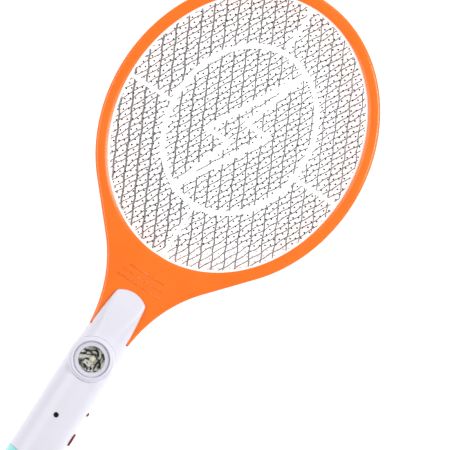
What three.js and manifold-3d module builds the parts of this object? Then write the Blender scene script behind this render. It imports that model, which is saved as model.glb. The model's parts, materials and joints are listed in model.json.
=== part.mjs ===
// Electric fly swatter: an oval racket head with three wire grids, a round handle with a lamp,
// and a torch that holds the battery and screws into the handle's collar.
// Millimetres. The swatter lies on its back: +Z is the front, +Y runs to the tip of the head,
// +X is the right-hand side seen from the front. The origin is below the middle of its length.
import * as THREE from 'three';
import { mergeVertices } from 'three/addons/utils/BufferGeometryUtils.js';
import Module from 'manifold-3d';

// ---- Driving dimensions ---------------------------------------------------------------------

const contactGap = 0.3;           // left between two pieces that touch on the real object
const headLength = 239;           // outside of the oval rim, along Y
const headWidth = 205;            // outside of the oval rim, along X
const rimWidth = 9.5;             // from the outside of the rim to its opening
const frameThickness = 15;        // both frame halves together, along Z
const frameWall = 2.2;            // side wall of a frame half
const frameLip = 2;               // front or back wall of a frame half
const frameBevel = 2.4;           // rounding of the frame's outer edges
const throatStartAngle = 45.7;    // where the throat leaves the oval, in degrees below +X
const throatStraight = 42;        // straight run of the throat's edge before it curves
const waistFlare = 3.7;           // how far outside the waist the throat's edge aims
const waistWidth = 34.6;          // across the tips of the frame's two horns
const throatLength = 60.8;        // from the lower end of the rim to the horn tips
const neckWidth = 24;             // part of the frame inside the handle
const neckLength = 6;             // past the horn tips

const handleDiameter = 38;
const handleWall = 2;
const handleLength = 109.7;       // from the horn tips to the handle's lower end
const handleTaper = 22;           // length over which the handle narrows to the waist
const tongueLength = 36.8;        // from the horn tips up to the top of the tongue's arch
const tongueArch = 4.5;           // rise of the arch
const tongueWidth = 25.2;         // across the tongue's two corners
const tongueProud = 1.8;          // how far the tongue stands above the frame
const slopeLength = 27.7;         // from the horn tips down to the handle's full height

const lampDrop = 22.1;            // from the horn tips down to the lamp
const bezelBand = 4;              // width of the bezel round the lens
const bezelProud = 1.5;           // above the handle's surface
const lensDiameter = 27;
const lensThickness = 1.4;

const indicatorRise = 49;         // from the handle's lower end up to the indicator light
const indicatorDiameter = 4;
const jackRise = 38.2;
const jackDiameter = 3.4;
const jackBore = 1.6;
const buttonRise = 26.3;
const buttonLength = 11;
const buttonWidth = 7;
const buttonProud = 1.6;
const buttonTravel = 1.5;

const collarLength = 12;          // the part of the collar that shows
const collarSpigot = 6;           // the part inside the handle
const threadDiameter = 29.3;      // over the crests of the torch's thread
const threadDepth = 1;
const threadPitch = 3.5;
const threadLength = 13.9;
const neckWall = 2.15;            // of the torch's threaded neck, under the thread
const sealThickness = 1.6;

const torchTail = 46;             // from the upper end of the switch's slot to the lens ring's rim
const torchDiameter = 37.3;       // at the shoulder
const torchWaist = 36.6;          // at its narrowest
const torchFlare = 41;            // where the lens ring begins
const torchWall = 2.2;
const ringDiameter = 44;          // the lens ring, which is the widest turned piece
const ringLength = 14;
const cellRoom = 7;               // from the shoulder to the slot, beyond the cell's length
const knobLength = 17.7;
const knobWidth = 12.1;
const knobProud = 1.3;
const knobTravel = 6;
const cellDiameter = 18;
const cellLength = 65;

const gridPitch = 30;             // across the bars of a grid
const gridBar = 1.2;              // width of a bar
const gridThickness = 0.8;
const gridRim = 1.5;              // from the frame's opening out to the grid's rim band
const outerGridAngle = 26.5;      // of the outer grids' bars to the Y axis, in degrees
const middleGridAngle = 54;
const spacerShow = 1.5;           // how far a spacer's rim shows inside the frame's opening
const ovalWidth = 109;            // of the spacer's inner oval
const ovalLength = 133;
const ovalShift = 3;              // of the oval towards the tip
const spacerRib = 3.6;            // width of the oval and of the zigzag
const spokeWidth = 3;
const spokeShift = -6;            // of the two side spokes along Y

const screwHead = 5.2;
const screwShank = 2.6;
const screwHeadHeight = 1.8;
const bossDiameter = 6.4;
const leadDiameter = 1.6;
const boardThickness = 1.6;
const lampBoardRadius = 9;        // of the small round board behind each lamp
const cutReach = 300;             // longer than any piece, for blocks that only cut

// ---- Places that follow from them -----------------------------------------------------------

const hornReach = headLength / 2 + throatLength;     // from the middle of the head, as every reach
const tongueReach = hornReach - tongueLength;
const slopeReach = hornReach + slopeLength;
const lampReach = hornReach + lampDrop;
const handleReach = hornReach + handleLength;
const indicatorReach = handleReach - indicatorRise;
const jackReach = handleReach - jackRise;
const buttonReach = handleReach - buttonRise;
const bezelDiameter = lensDiameter + bezelBand * 2;
const slotReach = cellLength + cellRoom;             // from the torch's shoulder
const torchLength = slotReach + torchTail;
const neckBore = threadDiameter - threadDepth * 2 - neckWall * 2;
const overallLength = headLength / 2 + handleReach + collarLength + contactGap + sealThickness
  + torchLength;
const headY = overallLength / 2 - headLength / 2;
const axisZ = ringDiameter / 2;
const shoulderY = torchLength - overallLength / 2;
const halfFrame = frameThickness / 2;
const roofZ = halfFrame - frameLip;
const middleGridTop = gridThickness / 2;
const spacerZ = middleGridTop + contactGap;
const spacerThickness = roofZ - spacerZ - gridThickness - contactGap * 2;
const outerGridZ = spacerZ + spacerThickness + contactGap;
const handleRadius = handleDiameter / 2;
const waistHalf = waistWidth / 2;
const bezelHeight = handleRadius + bezelProud - halfFrame - contactGap;
const shankRoom = screwShank / 2 + contactGap;
const headRoom = screwHead / 2 + contactGap;
const layerInset = frameWall + contactGap;
const contactPlateY = -handleReach - collarLength + threadLength + 2.5;

// ---- Shapes ---------------------------------------------------------------------------------

const wasm = await Module();
wasm.setup();

function toSolid(geometry) {
  const bare = geometry.clone();
  bare.deleteAttribute('normal');
  bare.deleteAttribute('uv');
  const merged = mergeVertices(bare, 1e-4);
  return new wasm.Manifold(new wasm.Mesh({
    numProp: 3,
    vertProperties: new Float32Array(merged.attributes.position.array),
    triVerts: new Uint32Array(merged.index.array),
  }));
}

function toGeometry(solid) {
  const mesh = solid.getMesh();
  const geometry = new THREE.BufferGeometry();
  geometry.setAttribute('position', new THREE.BufferAttribute(mesh.vertProperties, 3));
  geometry.setIndex(new THREE.BufferAttribute(mesh.triVerts, 1));
  geometry.computeVertexNormals();
  return geometry;
}

function join(...geometries) {
  return toGeometry(geometries.map(toSolid).reduce((sum, next) => sum.add(next)));
}

function cut(geometry, ...tools) {
  return toGeometry(tools.map(toSolid).reduce((rest, tool) => rest.subtract(tool), toSolid(geometry)));
}

function common(...geometries) {
  return toGeometry(geometries.map(toSolid).reduce((rest, next) => rest.intersect(next)));
}

// A solid turned about the Y axis. The profile's points are [radius, y], with y rising outside.
function turned(profile, sides = 40) {
  return new THREE.LatheGeometry(profile.map(([radius, y]) => new THREE.Vector2(radius, y)), sides);
}

function rod(radius, lowY, highY, sides = 20) {
  return turned([[0, lowY], [radius, lowY], [radius, highY], [0, highY]], sides);
}

function tube(outer, inner, lowY, highY, sides = 40) {
  return turned([[inner, lowY], [outer, lowY], [outer, highY], [inner, highY], [inner, lowY]], sides);
}

// Turns a solid's Y axis onto +Z, or onto +X.
function upright(geometry) {
  return geometry.rotateX(Math.PI / 2);
}

function sideways(geometry) {
  return geometry.rotateZ(-Math.PI / 2);
}

function plate(shape, lowZ, highZ, curveSegments = 17) {
  const depth = highZ - lowZ;
  return new THREE.ExtrudeGeometry(shape, { depth, bevelEnabled: false, curveSegments })
    .translate(0, 0, lowZ);
}

// A block between two opposite corners.
function block(low, high) {
  const size = high.map((value, axis) => value - low[axis]);
  const middle = high.map((value, axis) => (value + low[axis]) / 2);
  return new THREE.BoxGeometry(...size).translate(...middle);
}

function oval(halfX, halfY) {
  const shape = new THREE.Shape();
  shape.absellipse(0, 0, halfX, halfY, 0, Math.PI * 2, false);
  return shape;
}

// The head's oval, grown outwards or, with a negative value, drawn in.
function headOval(grow) {
  return oval(headWidth / 2 + grow, headLength / 2 + grow);
}

// A bar between two points of the XY plane, with square ends half its width past them.
function bar(from, to, width, lowZ, highZ) {
  const start = new THREE.Vector2(...from);
  const end = new THREE.Vector2(...to);
  const along = end.clone().sub(start).setLength(width / 2);
  const across = new THREE.Vector2(-along.y, along.x);
  start.sub(along);
  end.add(along);
  return plate(new THREE.Shape([
    start.clone().sub(across),
    end.clone().sub(across),
    end.add(across),
    start.add(across),
  ]), lowZ, highZ);
}

// A pill-shaped outline, long in Y.
function pill(width, length) {
  const radius = width / 2;
  const straight = length / 2 - radius;
  const shape = new THREE.Shape();
  shape.moveTo(radius, -straight);
  shape.lineTo(radius, straight);
  shape.absarc(0, straight, radius, 0, Math.PI, false);
  shape.lineTo(-radius, -straight);
  shape.absarc(0, -straight, radius, Math.PI, Math.PI * 2, false);
  return shape;
}

function polygon(diameter, sides) {
  const shape = new THREE.Shape();
  for (let side = 0; side < sides; side += 1) {
    const angle = (side / sides) * Math.PI * 2;
    const point = [Math.cos(angle) * diameter / 2, Math.sin(angle) * diameter / 2];
    if (side === 0) shape.moveTo(...point);
    else shape.lineTo(...point);
  }
  return shape;
}

// A round wire along a curve.
function wire(curve, diameter, steps, sides = 8) {
  return new THREE.ExtrudeGeometry(polygon(diameter, sides), { steps, extrudePath: curve });
}

// A right-hand helix about the Y axis, starting at lowY.
class Helix extends THREE.Curve {
  constructor(radius, lowY, pitch, turns, endRadius = radius) {
    super();
    Object.assign(this, { radius, lowY, pitch, turns, endRadius });
  }

  getPoint(share, target = new THREE.Vector3()) {
    const angle = share * this.turns * Math.PI * 2;
    const radius = this.radius + (this.endRadius - this.radius) * share;
    const y = this.lowY + share * this.turns * this.pitch;
    return target.set(Math.cos(angle) * radius, y, -Math.sin(angle) * radius);
  }
}

// ---- Finishes -------------------------------------------------------------------------------

const finishes = {
  orange: { color: 0xff7518, roughness: 0.3, metalness: 0 },
  white: { color: 0xf2f1f6, roughness: 0.4, metalness: 0 },
  turquoise: { color: 0x8fe6e0, roughness: 0.45, metalness: 0 },
  insulator: { color: 0xf7f7f7, roughness: 0.5, metalness: 0 },
  gridWire: { color: 0x77797c, roughness: 0.35, metalness: 1 },
  steel: { color: 0xb9bcc0, roughness: 0.3, metalness: 1 },
  brass: { color: 0xcaa24a, roughness: 0.3, metalness: 1 },
  mirror: { color: 0xdfe3e6, roughness: 0.08, metalness: 1 },
  clear: { color: 0xe8eef0, roughness: 0.05, metalness: 0 },
  ledYellow: { color: 0xe8d36a, roughness: 0.3, metalness: 0 },
  board: { color: 0x1d6b3a, roughness: 0.6, metalness: 0 },
  black: { color: 0x141416, roughness: 0.5, metalness: 0 },
  redButton: { color: 0x7c1c26, roughness: 0.35, metalness: 0 },
  transformer: { color: 0xd9b23a, roughness: 0.5, metalness: 0 },
  capacitor: { color: 0x7a3b1e, roughness: 0.4, metalness: 0 },
  cellWrap: { color: 0x2f6fb2, roughness: 0.35, metalness: 0 },
  sealRubber: { color: 0x2a2a2c, roughness: 0.8, metalness: 0 },
  leadRed: { color: 0xb3242c, roughness: 0.5, metalness: 0 },
};

function piece(parent, name, finish, geometry) {
  const mesh = new THREE.Mesh(geometry, new THREE.MeshStandardMaterial(finishes[finish]));
  mesh.name = name;
  parent.add(mesh);
  return mesh;
}

// ---- Head: two frame halves, three grids and two spacers -------------------------------------

// The frame seen from the front: the oval, the throat and the neck inside the handle.
function frameShape(grow) {
  const halfX = headWidth / 2 + grow;
  const halfY = headLength / 2 + grow;
  const start = THREE.MathUtils.degToRad(-throatStartAngle);
  const leave = new THREE.Vector2(halfX * Math.cos(start), halfY * Math.sin(start));
  const along = new THREE.Vector2(halfX * Math.sin(start), -halfY * Math.cos(start)).normalize();
  const straightEnd = leave.clone().addScaledVector(along, throatStraight);
  const aimX = waistHalf + waistFlare + grow;
  const aimRun = (aimX - leave.x) / along.x;
  const aim = leave.clone().addScaledVector(along, aimRun);
  const hornX = waistHalf + grow;
  const neckX = neckWidth / 2 + grow;
  const hornY = -hornReach - grow;
  const neckY = hornY - neckLength;
  const shape = new THREE.Shape();
  shape.absellipse(0, 0, halfX, halfY, start, Math.PI - start, false);
  shape.lineTo(-straightEnd.x, straightEnd.y);
  shape.quadraticCurveTo(-aim.x, aim.y, -hornX, hornY);
  shape.lineTo(-neckX, hornY);
  shape.lineTo(-neckX, neckY);
  shape.lineTo(neckX, neckY);
  shape.lineTo(neckX, hornY);
  shape.lineTo(hornX, hornY);
  shape.quadraticCurveTo(aim.x, aim.y, straightEnd.x, straightEnd.y);
  return shape;
}

const throatScrewX = 21;
const throatScrewY = -(headLength / 2) - 11;
const neckScrewReach = hornReach - 14.3;
const leadSlotWidth = 16;
const leadSlotHalfHeight = 4;

// One half of the frame, from its parting face up to its front: a shell that is open behind.
function frameHalf() {
  const outside = new THREE.ExtrudeGeometry(frameShape(0), {
    depth: halfFrame,
    bevelThickness: frameBevel,
    bevelSize: frameBevel,
    bevelOffset: -frameBevel,
    bevelSegments: 2,
    curveSegments: 17,
  }).translate(0, 0, -frameBevel);
  return cut(
    common(outside, block([-cutReach, -cutReach, contactGap / 2], [cutReach, cutReach, cutReach])),
    plate(frameShape(-frameWall), -1, roofZ),
    plate(headOval(-rimWidth), -1, halfFrame + 1),
    block([-leadSlotWidth / 2, -cutReach, -1], [leadSlotWidth / 2, -hornReach - 1, leadSlotHalfHeight]),
  );
}

// A round post or hole along Z.
function post(x, y, radius, lowZ, highZ) {
  return upright(rod(radius, lowZ, highZ, 12)).translate(x, y, 0);
}

function throatPost(side, radius, lowZ, highZ) {
  return post(side * throatScrewX, throatScrewY, radius, lowZ, highZ);
}

// A frame half with the two posts that its screws run through.
function framePosts() {
  const sides = [1, -1].map((side) => throatPost(side, bossDiameter / 2, contactGap / 2, roofZ + 1));
  return join(frameHalf(), ...sides);
}

function neckHole() {
  return upright(rod(bossDiameter / 2 + contactGap, -cutReach, cutReach, 16))
    .translate(0, -neckScrewReach, 0);
}

function frameFront() {
  const pilots = [1, -1].map((side) => throatPost(side, shankRoom, -1, roofZ));
  return cut(framePosts(), ...pilots, neckHole());
}

function frameBack() {
  const seatZ = halfFrame - screwHeadHeight - contactGap;
  const holes = [1, -1].flatMap((side) => [
    throatPost(side, shankRoom, -1, halfFrame + 1),
    throatPost(side, headRoom, seatZ, halfFrame + 1),
  ]);
  return cut(framePosts(), ...holes, neckHole()).rotateY(Math.PI);
}

// A screw along Z: its head is at the lower end, and length is that of its shank.
function screw(length) {
  const head = screwHead / 2;
  const shank = screwShank / 2;
  return upright(turned([
    [0, 0], [head, 0], [head, screwHeadHeight * 0.5], [shank, screwHeadHeight],
    [shank, screwHeadHeight + length], [0, screwHeadHeight + length],
  ], 12));
}

// A flat grid inside the head's oval: what is left of a plate between rhombic holes, whose sides
// run at plus and minus an angle to the Y axis.
function grid(angleDegrees, lowZ) {
  const highZ = lowZ + gridThickness;
  const angle = THREE.MathUtils.degToRad(angleDegrees);
  const stepX = gridPitch / Math.cos(angle) / 2;
  const stepY = gridPitch / Math.sin(angle) / 2;
  const open = 1 - gridBar / gridPitch;
  const countX = Math.ceil(headWidth / 2 / stepX);
  const countY = Math.ceil(headLength / 2 / stepY);
  const holes = [];
  for (let column = -countX; column <= countX; column += 1) {
    for (let row = -countY; row <= countY; row += 1) {
      if ((column + row) % 2 === 0) {
        holes.push(plate(new THREE.Shape([
          new THREE.Vector2(stepX * open, 0),
          new THREE.Vector2(0, stepY * open),
          new THREE.Vector2(-stepX * open, 0),
          new THREE.Vector2(0, -stepY * open),
        ]), lowZ - 1, highZ + 1).translate(column * stepX, row * stepY, 0));
      }
    }
  }
  const field = plate(headOval(gridRim - rimWidth), lowZ - 2, highZ + 2);
  return cut(plate(headOval(-layerInset), lowZ, highZ), common(join(...holes), field));
}

// A spacer: the insulator that holds two grids apart, with an oval, four spokes and a zigzag.
function spacer(lowZ) {
  const highZ = lowZ + spacerThickness;
  const halfX = ovalWidth / 2;
  const halfY = ovalLength / 2;
  const rim = cut(
    plate(headOval(-layerInset), lowZ, highZ),
    plate(headOval(-rimWidth - spacerShow), lowZ - 1, highZ + 1),
  );
  const ovalBand = cut(
    plate(oval(halfX + spacerRib / 2, halfY + spacerRib / 2), lowZ, highZ, 14),
    plate(oval(halfX - spacerRib / 2, halfY - spacerRib / 2), lowZ - 1, highZ + 1, 14),
  ).translate(0, ovalShift, 0);
  const rimX = headWidth / 2 - rimWidth;
  const rimY = headLength / 2 - rimWidth;
  const spokes = [
    [[halfX, spokeShift], [rimX, spokeShift]],
    [[-halfX, spokeShift], [-rimX, spokeShift]],
    [[0, ovalShift + halfY], [0, rimY]],
    [[0, ovalShift - halfY], [0, -rimY]],
  ].map(([from, to]) => bar(from, to, spokeWidth, lowZ, highZ));
  const tip = [ovalWidth * 0.18, ovalLength * 0.475];
  const elbow = [-ovalWidth * 0.2, -ovalLength * 0.071];
  const notch = [-ovalWidth * 0.018, elbow[1]];
  const corners = [tip, elbow, notch, [-tip[0], -tip[1] + ovalShift], [-elbow[0], -elbow[1]],
    [-notch[0], -notch[1]]];
  const zigzag = corners.map((from, index) => (
    bar(from, corners[(index + 1) % corners.length], spacerRib, lowZ, highZ)));
  return join(rim, ovalBand, ...spokes, ...zigzag);
}

function addHead(parent) {
  piece(parent, 'frame_front', 'orange', frameFront());
  piece(parent, 'frame_back', 'orange', frameBack());
  piece(parent, 'grid_front', 'gridWire', grid(outerGridAngle, outerGridZ));
  piece(parent, 'grid_middle', 'gridWire', grid(middleGridAngle, -middleGridTop));
  piece(parent, 'grid_back', 'gridWire', grid(outerGridAngle, -outerGridZ - gridThickness));
  piece(parent, 'spacer_front', 'insulator', spacer(spacerZ));
  piece(parent, 'spacer_back', 'insulator', spacer(-spacerZ - spacerThickness));
  for (const [index, side] of [-1, 1].entries()) {
    const fastener = piece(parent, `throat_screw_${index + 1}`, 'steel', screw(halfFrame + 2));
    fastener.position.set(side * throatScrewX, throatScrewY, -halfFrame);
  }
}

// ---- Handle: two shells, the lamp, the button and the high-voltage circuit ---------------------

// The handle's outside, or its hollow when drawn in by its wall.
function handleForm(inset, lowY) {
  const radius = handleRadius - inset;
  const waist = waistHalf - inset;
  const round = turned([
    [0, lowY], [radius, lowY], [radius, -hornReach - handleTaper], [waist, -hornReach],
    [waist, 0], [0, 0],
  ], 36);
  const topY = -tongueReach - inset;
  const cornerY = topY - tongueArch;
  const cornerX = tongueWidth / 2 - inset;
  const archRadius = (cornerX ** 2 + tongueArch ** 2) / (2 * tongueArch);
  const archHalf = Math.asin(cornerX / archRadius);
  const front = new THREE.Shape();
  front.moveTo(-handleRadius, lowY - 1);
  front.lineTo(handleRadius, lowY - 1);
  front.lineTo(handleRadius, -hornReach - handleTaper);
  front.lineTo(waist, -hornReach);
  front.lineTo(cornerX, cornerY);
  front.absarc(0, topY - archRadius, archRadius, Math.PI / 2 - archHalf, Math.PI / 2 + archHalf, false);
  front.lineTo(-waist, -hornReach);
  front.lineTo(-handleRadius, -hornReach - handleTaper);
  const tongueHalf = halfFrame + tongueProud - inset;
  const side = new THREE.Shape();
  side.moveTo(lowY - 1, -radius);
  side.lineTo(-slopeReach, -radius);
  side.quadraticCurveTo(-hornReach, -radius, -tongueReach, -tongueHalf);
  side.lineTo(-tongueReach, tongueHalf);
  side.quadraticCurveTo(-hornReach, radius, -slopeReach, radius);
  side.lineTo(lowY - 1, radius);
  // The side view is drawn with Y to the right and Z upwards, then stood on its edge.
  const profile = plate(side, -handleRadius, handleRadius, 10)
    .rotateX(Math.PI / 2)
    .rotateZ(Math.PI / 2);
  return common(round, plate(front, -handleRadius, handleRadius, 8), profile);
}

const lampScrewReach = hornReach + 44.7;
const endScrewReach = handleReach - 12;
const neckScrewSink = 0.7;        // from the handle's back to a screw's head
const gripScrewSink = 7;
const handleScrews = [neckScrewReach, lampScrewReach, endScrewReach];

// How far the handle's back wall lies from its axis at a screw.
function wallDepth(reach) {
  return reach < hornReach ? halfFrame + tongueProud : handleRadius;
}

const seatDepths = handleScrews.map((reach) => (
  wallDepth(reach) - (reach < hornReach ? neckScrewSink : gripScrewSink)));

function handleShell(front) {
  const lowY = -handleReach;
  const sign = front ? 1 : -1;
  const half = front
    ? block([-cutReach, -cutReach * 2, contactGap / 2], [cutReach, cutReach, cutReach])
    : block([-cutReach, -cutReach * 2, -cutReach], [cutReach, cutReach, -contactGap / 2]);
  const outside = common(handleForm(0, lowY), half);
  const hollow = handleForm(handleWall, lowY - 1);
  const frameRoom = plate(frameShape(contactGap), -halfFrame - contactGap, halfFrame + contactGap);
  const shell = cut(outside, hollow, frameRoom);
  const bosses = handleScrews.map((reach) => {
    const near = sign * contactGap / 2;
    const far = sign * (handleRadius - handleWall / 2);
    const whole = post(0, -reach, bossDiameter / 2, Math.min(near, far), Math.max(near, far));
    return common(whole, outside);
  });
  return join(shell, ...bosses);
}

function buttonHole(clearance, lowX, highX) {
  return plate(pill(buttonWidth + clearance * 2, buttonLength + clearance * 2), lowX, highX, 6)
    .rotateY(Math.PI / 2)
    .translate(0, -buttonReach, 0);
}

function handleFront() {
  const bezelFloor = handleRadius + bezelProud - bezelHeight;
  const bezelRoom = upright(rod(bezelDiameter / 2 + contactGap, bezelFloor - contactGap, cutReach, 40))
    .translate(0, -lampReach, 0);
  const pilots = handleScrews.map((reach) => (
    post(0, -reach, shankRoom, -1, wallDepth(reach) - handleWall)));
  return cut(
    handleShell(true),
    bezelRoom,
    post(0, -jackReach, jackDiameter / 2 + contactGap, 0, cutReach),
    sideways(rod(indicatorDiameter / 2 + contactGap, 0, cutReach, 16)).translate(0, -indicatorReach, 0),
    buttonHole(contactGap, 0, cutReach),
    ...pilots,
  );
}

function handleBack() {
  const holes = handleScrews.flatMap((reach, index) => [
    post(0, -reach, shankRoom, -cutReach, 1),
    post(0, -reach, headRoom, -cutReach, -seatDepths[index] + screwHeadHeight + contactGap),
  ]);
  return cut(
    handleShell(false),
    sideways(rod(indicatorDiameter / 2 + contactGap, 0, cutReach, 16)).translate(0, -indicatorReach, 0),
    buttonHole(contactGap, 0, cutReach),
    ...holes,
  );
}

function addLamp(parent) {
  const topZ = handleRadius + bezelProud;
  const floorZ = topZ - bezelHeight;
  const outer = bezelDiameter / 2;
  const lens = lensDiameter / 2;
  const ledge = lens - 1.2;
  const ledgeZ = topZ - lensThickness - 0.8;
  const bezel = upright(turned([
    [ledge, floorZ], [outer, floorZ], [outer, topZ - 1.6], [outer - 0.6, topZ - 1], [lens + 1.6, topZ - 1],
    [lens + 1.2, topZ], [lens + contactGap, topZ], [lens + contactGap, ledgeZ], [ledge, ledgeZ],
    [ledge, floorZ],
  ], 40));
  const cover = upright(turned([
    [0, ledgeZ + contactGap], [lens, ledgeZ + contactGap], [lens, ledgeZ + lensThickness],
    [lens * 0.5, ledgeZ + lensThickness + 0.5], [0, ledgeZ + lensThickness + 0.6],
  ], 40));
  const mouth = ledge - contactGap;
  const mouthZ = ledgeZ - contactGap;
  const baseZ = floorZ + 0.6;
  const reflector = upright(turned([
    [3.2, baseZ], [4.2, baseZ], [mouth * 0.75, (baseZ + mouthZ) / 2], [mouth, mouthZ - 0.8], [mouth, mouthZ],
    [mouth - 0.8, mouthZ], [mouth * 0.68, (baseZ + mouthZ) / 2 + 0.8], [3.2, baseZ + 0.9], [3.2, baseZ],
  ], 24));
  const boardTop = baseZ - contactGap;
  const diodeZ = boardTop + contactGap;
  const diode = upright(turned([
    [0, diodeZ], [2.6, diodeZ], [2.6, diodeZ + 2], [1.6, diodeZ + 3.4], [0, diodeZ + 4],
  ], 16));
  const lamp = new THREE.Group();
  lamp.position.set(0, -lampReach, 0);
  parent.add(lamp);
  piece(lamp, 'lens_bezel', 'white', bezel);
  piece(lamp, 'lamp_lens', 'clear', cover);
  piece(lamp, 'lamp_reflector', 'mirror', reflector);
  piece(lamp, 'lamp_led', 'ledYellow', diode);
  const boardLow = boardTop - boardThickness;
  piece(lamp, 'lamp_board', 'board', upright(rod(lampBoardRadius, boardLow, boardTop, 24)));
}

const boardTopZ = -6;
const boardHalfWidth = 12;
const boardLowerReach = handleReach - 17;
const boardUpperReach = boardLowerReach - 43;

function addCircuit(parent) {
  const onBoard = boardTopZ + contactGap;
  piece(parent, 'high_voltage_board', 'board', block(
    [-boardHalfWidth, -boardLowerReach, boardTopZ - boardThickness],
    [boardHalfWidth, -boardUpperReach, boardTopZ],
  ));
  const coreHigh = -boardUpperReach - 2;
  const coreLow = coreHigh - 14;
  piece(parent, 'transformer', 'transformer', join(
    block([-10, coreLow, onBoard], [2, coreHigh, onBoard + 3]),
    block([-8, coreLow + 2, onBoard + 2], [0, coreHigh - 2, onBoard + 9]),
    block([-10, coreLow, onBoard + 8], [2, coreHigh, onBoard + 11]),
  ));
  const storageHigh = coreLow - 9;
  const storageLow = storageHigh - 7;
  piece(parent, 'storage_capacitor', 'capacitor', block(
    [-9, storageLow, onBoard],
    [3, storageHigh, onBoard + 9],
  ));
  const filterHigh = storageLow - 2;
  piece(parent, 'filter_capacitor', 'capacitor', rod(3, filterHigh - 7, filterHigh, 16)
    .translate(-6, 0, onBoard + 3.2));
  const switchMouth = handleRadius - 8;
  const plungerRadius = 1.7;
  const switchHalf = 3;
  const body = block(
    [switchMouth - 3.5, -buttonReach - switchHalf, onBoard],
    [switchMouth, -buttonReach + switchHalf, switchHalf],
  );
  const plungerRoom = sideways(rod(plungerRadius + contactGap, switchMouth - buttonTravel - contactGap,
    switchMouth + 1, 12)).translate(0, -buttonReach, 0);
  piece(parent, 'fire_switch', 'black', cut(body, plungerRoom));
  piece(parent, 'switch_plunger', 'black', sideways(rod(plungerRadius, switchMouth + contactGap,
    switchMouth + 2.2, 12)).translate(0, -buttonReach, 0));
  const flangeX = switchMouth + 2.5;
  piece(parent, 'fire_button', 'redButton', join(
    buttonHole(0, flangeX + 1, handleRadius + buttonProud),
    buttonHole(1, flangeX, flangeX + 1.5),
  ));
  const lightLow = handleRadius - 7;
  piece(parent, 'indicator_led', 'redButton', sideways(turned([
    [0, lightLow], [indicatorDiameter / 2, lightLow], [indicatorDiameter / 2, handleRadius + 0.2],
    [indicatorDiameter / 4, handleRadius + 0.9], [0, handleRadius + 1.1],
  ], 16)).translate(0, -indicatorReach, 0));
  const jackHalf = 4.5;
  const housing = block(
    [-jackHalf, -jackReach - jackHalf, 8],
    [jackHalf, -jackReach + jackHalf, handleRadius - handleWall - 1.2],
  );
  const nose = upright(rod(jackDiameter / 2, 9, handleRadius - 0.4, 16)).translate(0, -jackReach, 0);
  const socket = upright(rod(jackBore / 2, 10, cutReach, 10)).translate(0, -jackReach, 0);
  piece(parent, 'charge_jack', 'black', cut(join(housing, nose), socket));
}

function leadCurve(x, endZ) {
  const startZ = boardTopZ + leadDiameter / 2 + contactGap;
  const endY = layerInset - headLength / 2 - leadDiameter;
  return new THREE.CatmullRomCurve3([
    new THREE.Vector3(x, -boardUpperReach - 0.5, startZ),
    new THREE.Vector3(x, -boardUpperReach + 8, startZ + 1),
    new THREE.Vector3(x, -hornReach - neckLength - 6, -1),
    new THREE.Vector3(x, -hornReach + 8, 0),
    new THREE.Vector3(x, endY - 14, endZ * 0.6),
    new THREE.Vector3(x, endY, endZ),
  ]);
}

// From the board's lower end to the contact plate.
function powerLeadCurve(x, plateY) {
  const startZ = boardTopZ + leadDiameter / 2 + contactGap;
  return new THREE.CatmullRomCurve3([
    new THREE.Vector3(x, -boardLowerReach + 0.5, startZ),
    new THREE.Vector3(x, -boardLowerReach - 4, startZ + 0.5),
    new THREE.Vector3(x, plateY + contactGap, startZ + 2),
  ]);
}

function addLeads(parent) {
  const outerLevel = outerGridZ - leadDiameter / 2;
  const ends = { front: [-6.5, outerLevel], middle: [4.6, 0], back: [6.6, -outerLevel] };
  for (const [name, [x, endZ]] of Object.entries(ends)) {
    piece(parent, `lead_${name}`, 'leadRed', wire(leadCurve(x, endZ), leadDiameter, 14));
  }
  for (const [name, x] of [['plus', 6], ['minus', -6]]) {
    const curve = powerLeadCurve(x, contactPlateY + boardThickness);
    piece(parent, `power_lead_${name}`, 'leadRed', wire(curve, leadDiameter, 6));
  }
}

function addCollar(parent) {
  const lowY = -handleReach - collarLength;
  const bore = threadDiameter / 2 + contactGap;
  const spigot = handleRadius - handleWall - contactGap;
  const topY = -handleReach + collarSpigot;
  piece(parent, 'collar', 'turquoise', turned([
    [bore, lowY], [handleRadius - 0.4, lowY], [handleRadius, lowY + 0.6],
    [handleRadius, -handleReach - contactGap], [spigot, -handleReach - contactGap], [spigot, topY],
    [bore, topY], [bore, lowY],
  ], 36));
  const plateLow = contactPlateY;
  piece(parent, 'contact_plate', 'board', rod(bore - contactGap, plateLow, plateLow + boardThickness, 24));
  const springTurns = 2.5;
  const springPitch = 0.75;
  const springWire = 0.6;
  const springLow = plateLow - contactGap - springWire / 2 - springTurns * springPitch;
  piece(parent, 'contact_spring', 'brass', wire(
    new Helix(1.6, springLow, springPitch, springTurns, 3),
    springWire,
    20,
    5,
  ));
}

function addHandle(parent) {
  piece(parent, 'handle_front', 'white', handleFront());
  piece(parent, 'handle_back', 'white', handleBack());
  handleScrews.forEach((reach, index) => {
    const seat = -seatDepths[index];
    const length = -seat - screwHeadHeight + 5;
    piece(parent, `handle_screw_${index + 1}`, 'steel', screw(length)).position.set(0, -reach, seat);
  });
  addLamp(parent);
  addCircuit(parent);
  addLeads(parent);
  addCollar(parent);
}

// ---- Torch: placed with its shoulder at Y = 0, its neck upwards ---------------------------------

const bodyEnd = -(torchLength - ringLength);
const slotLength = knobLength + knobTravel + contactGap * 2;
const slotY = -slotReach - slotLength / 2;
const knobY = -slotReach - contactGap - knobLength / 2;
const stemHalf = 1.5;             // half the width of the thumb piece's stem
const stemLow = torchWaist / 2 - torchWall - 2;
const lightY = -12;
const lightRadius = 1.5;
const lightDepth = 5;

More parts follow.
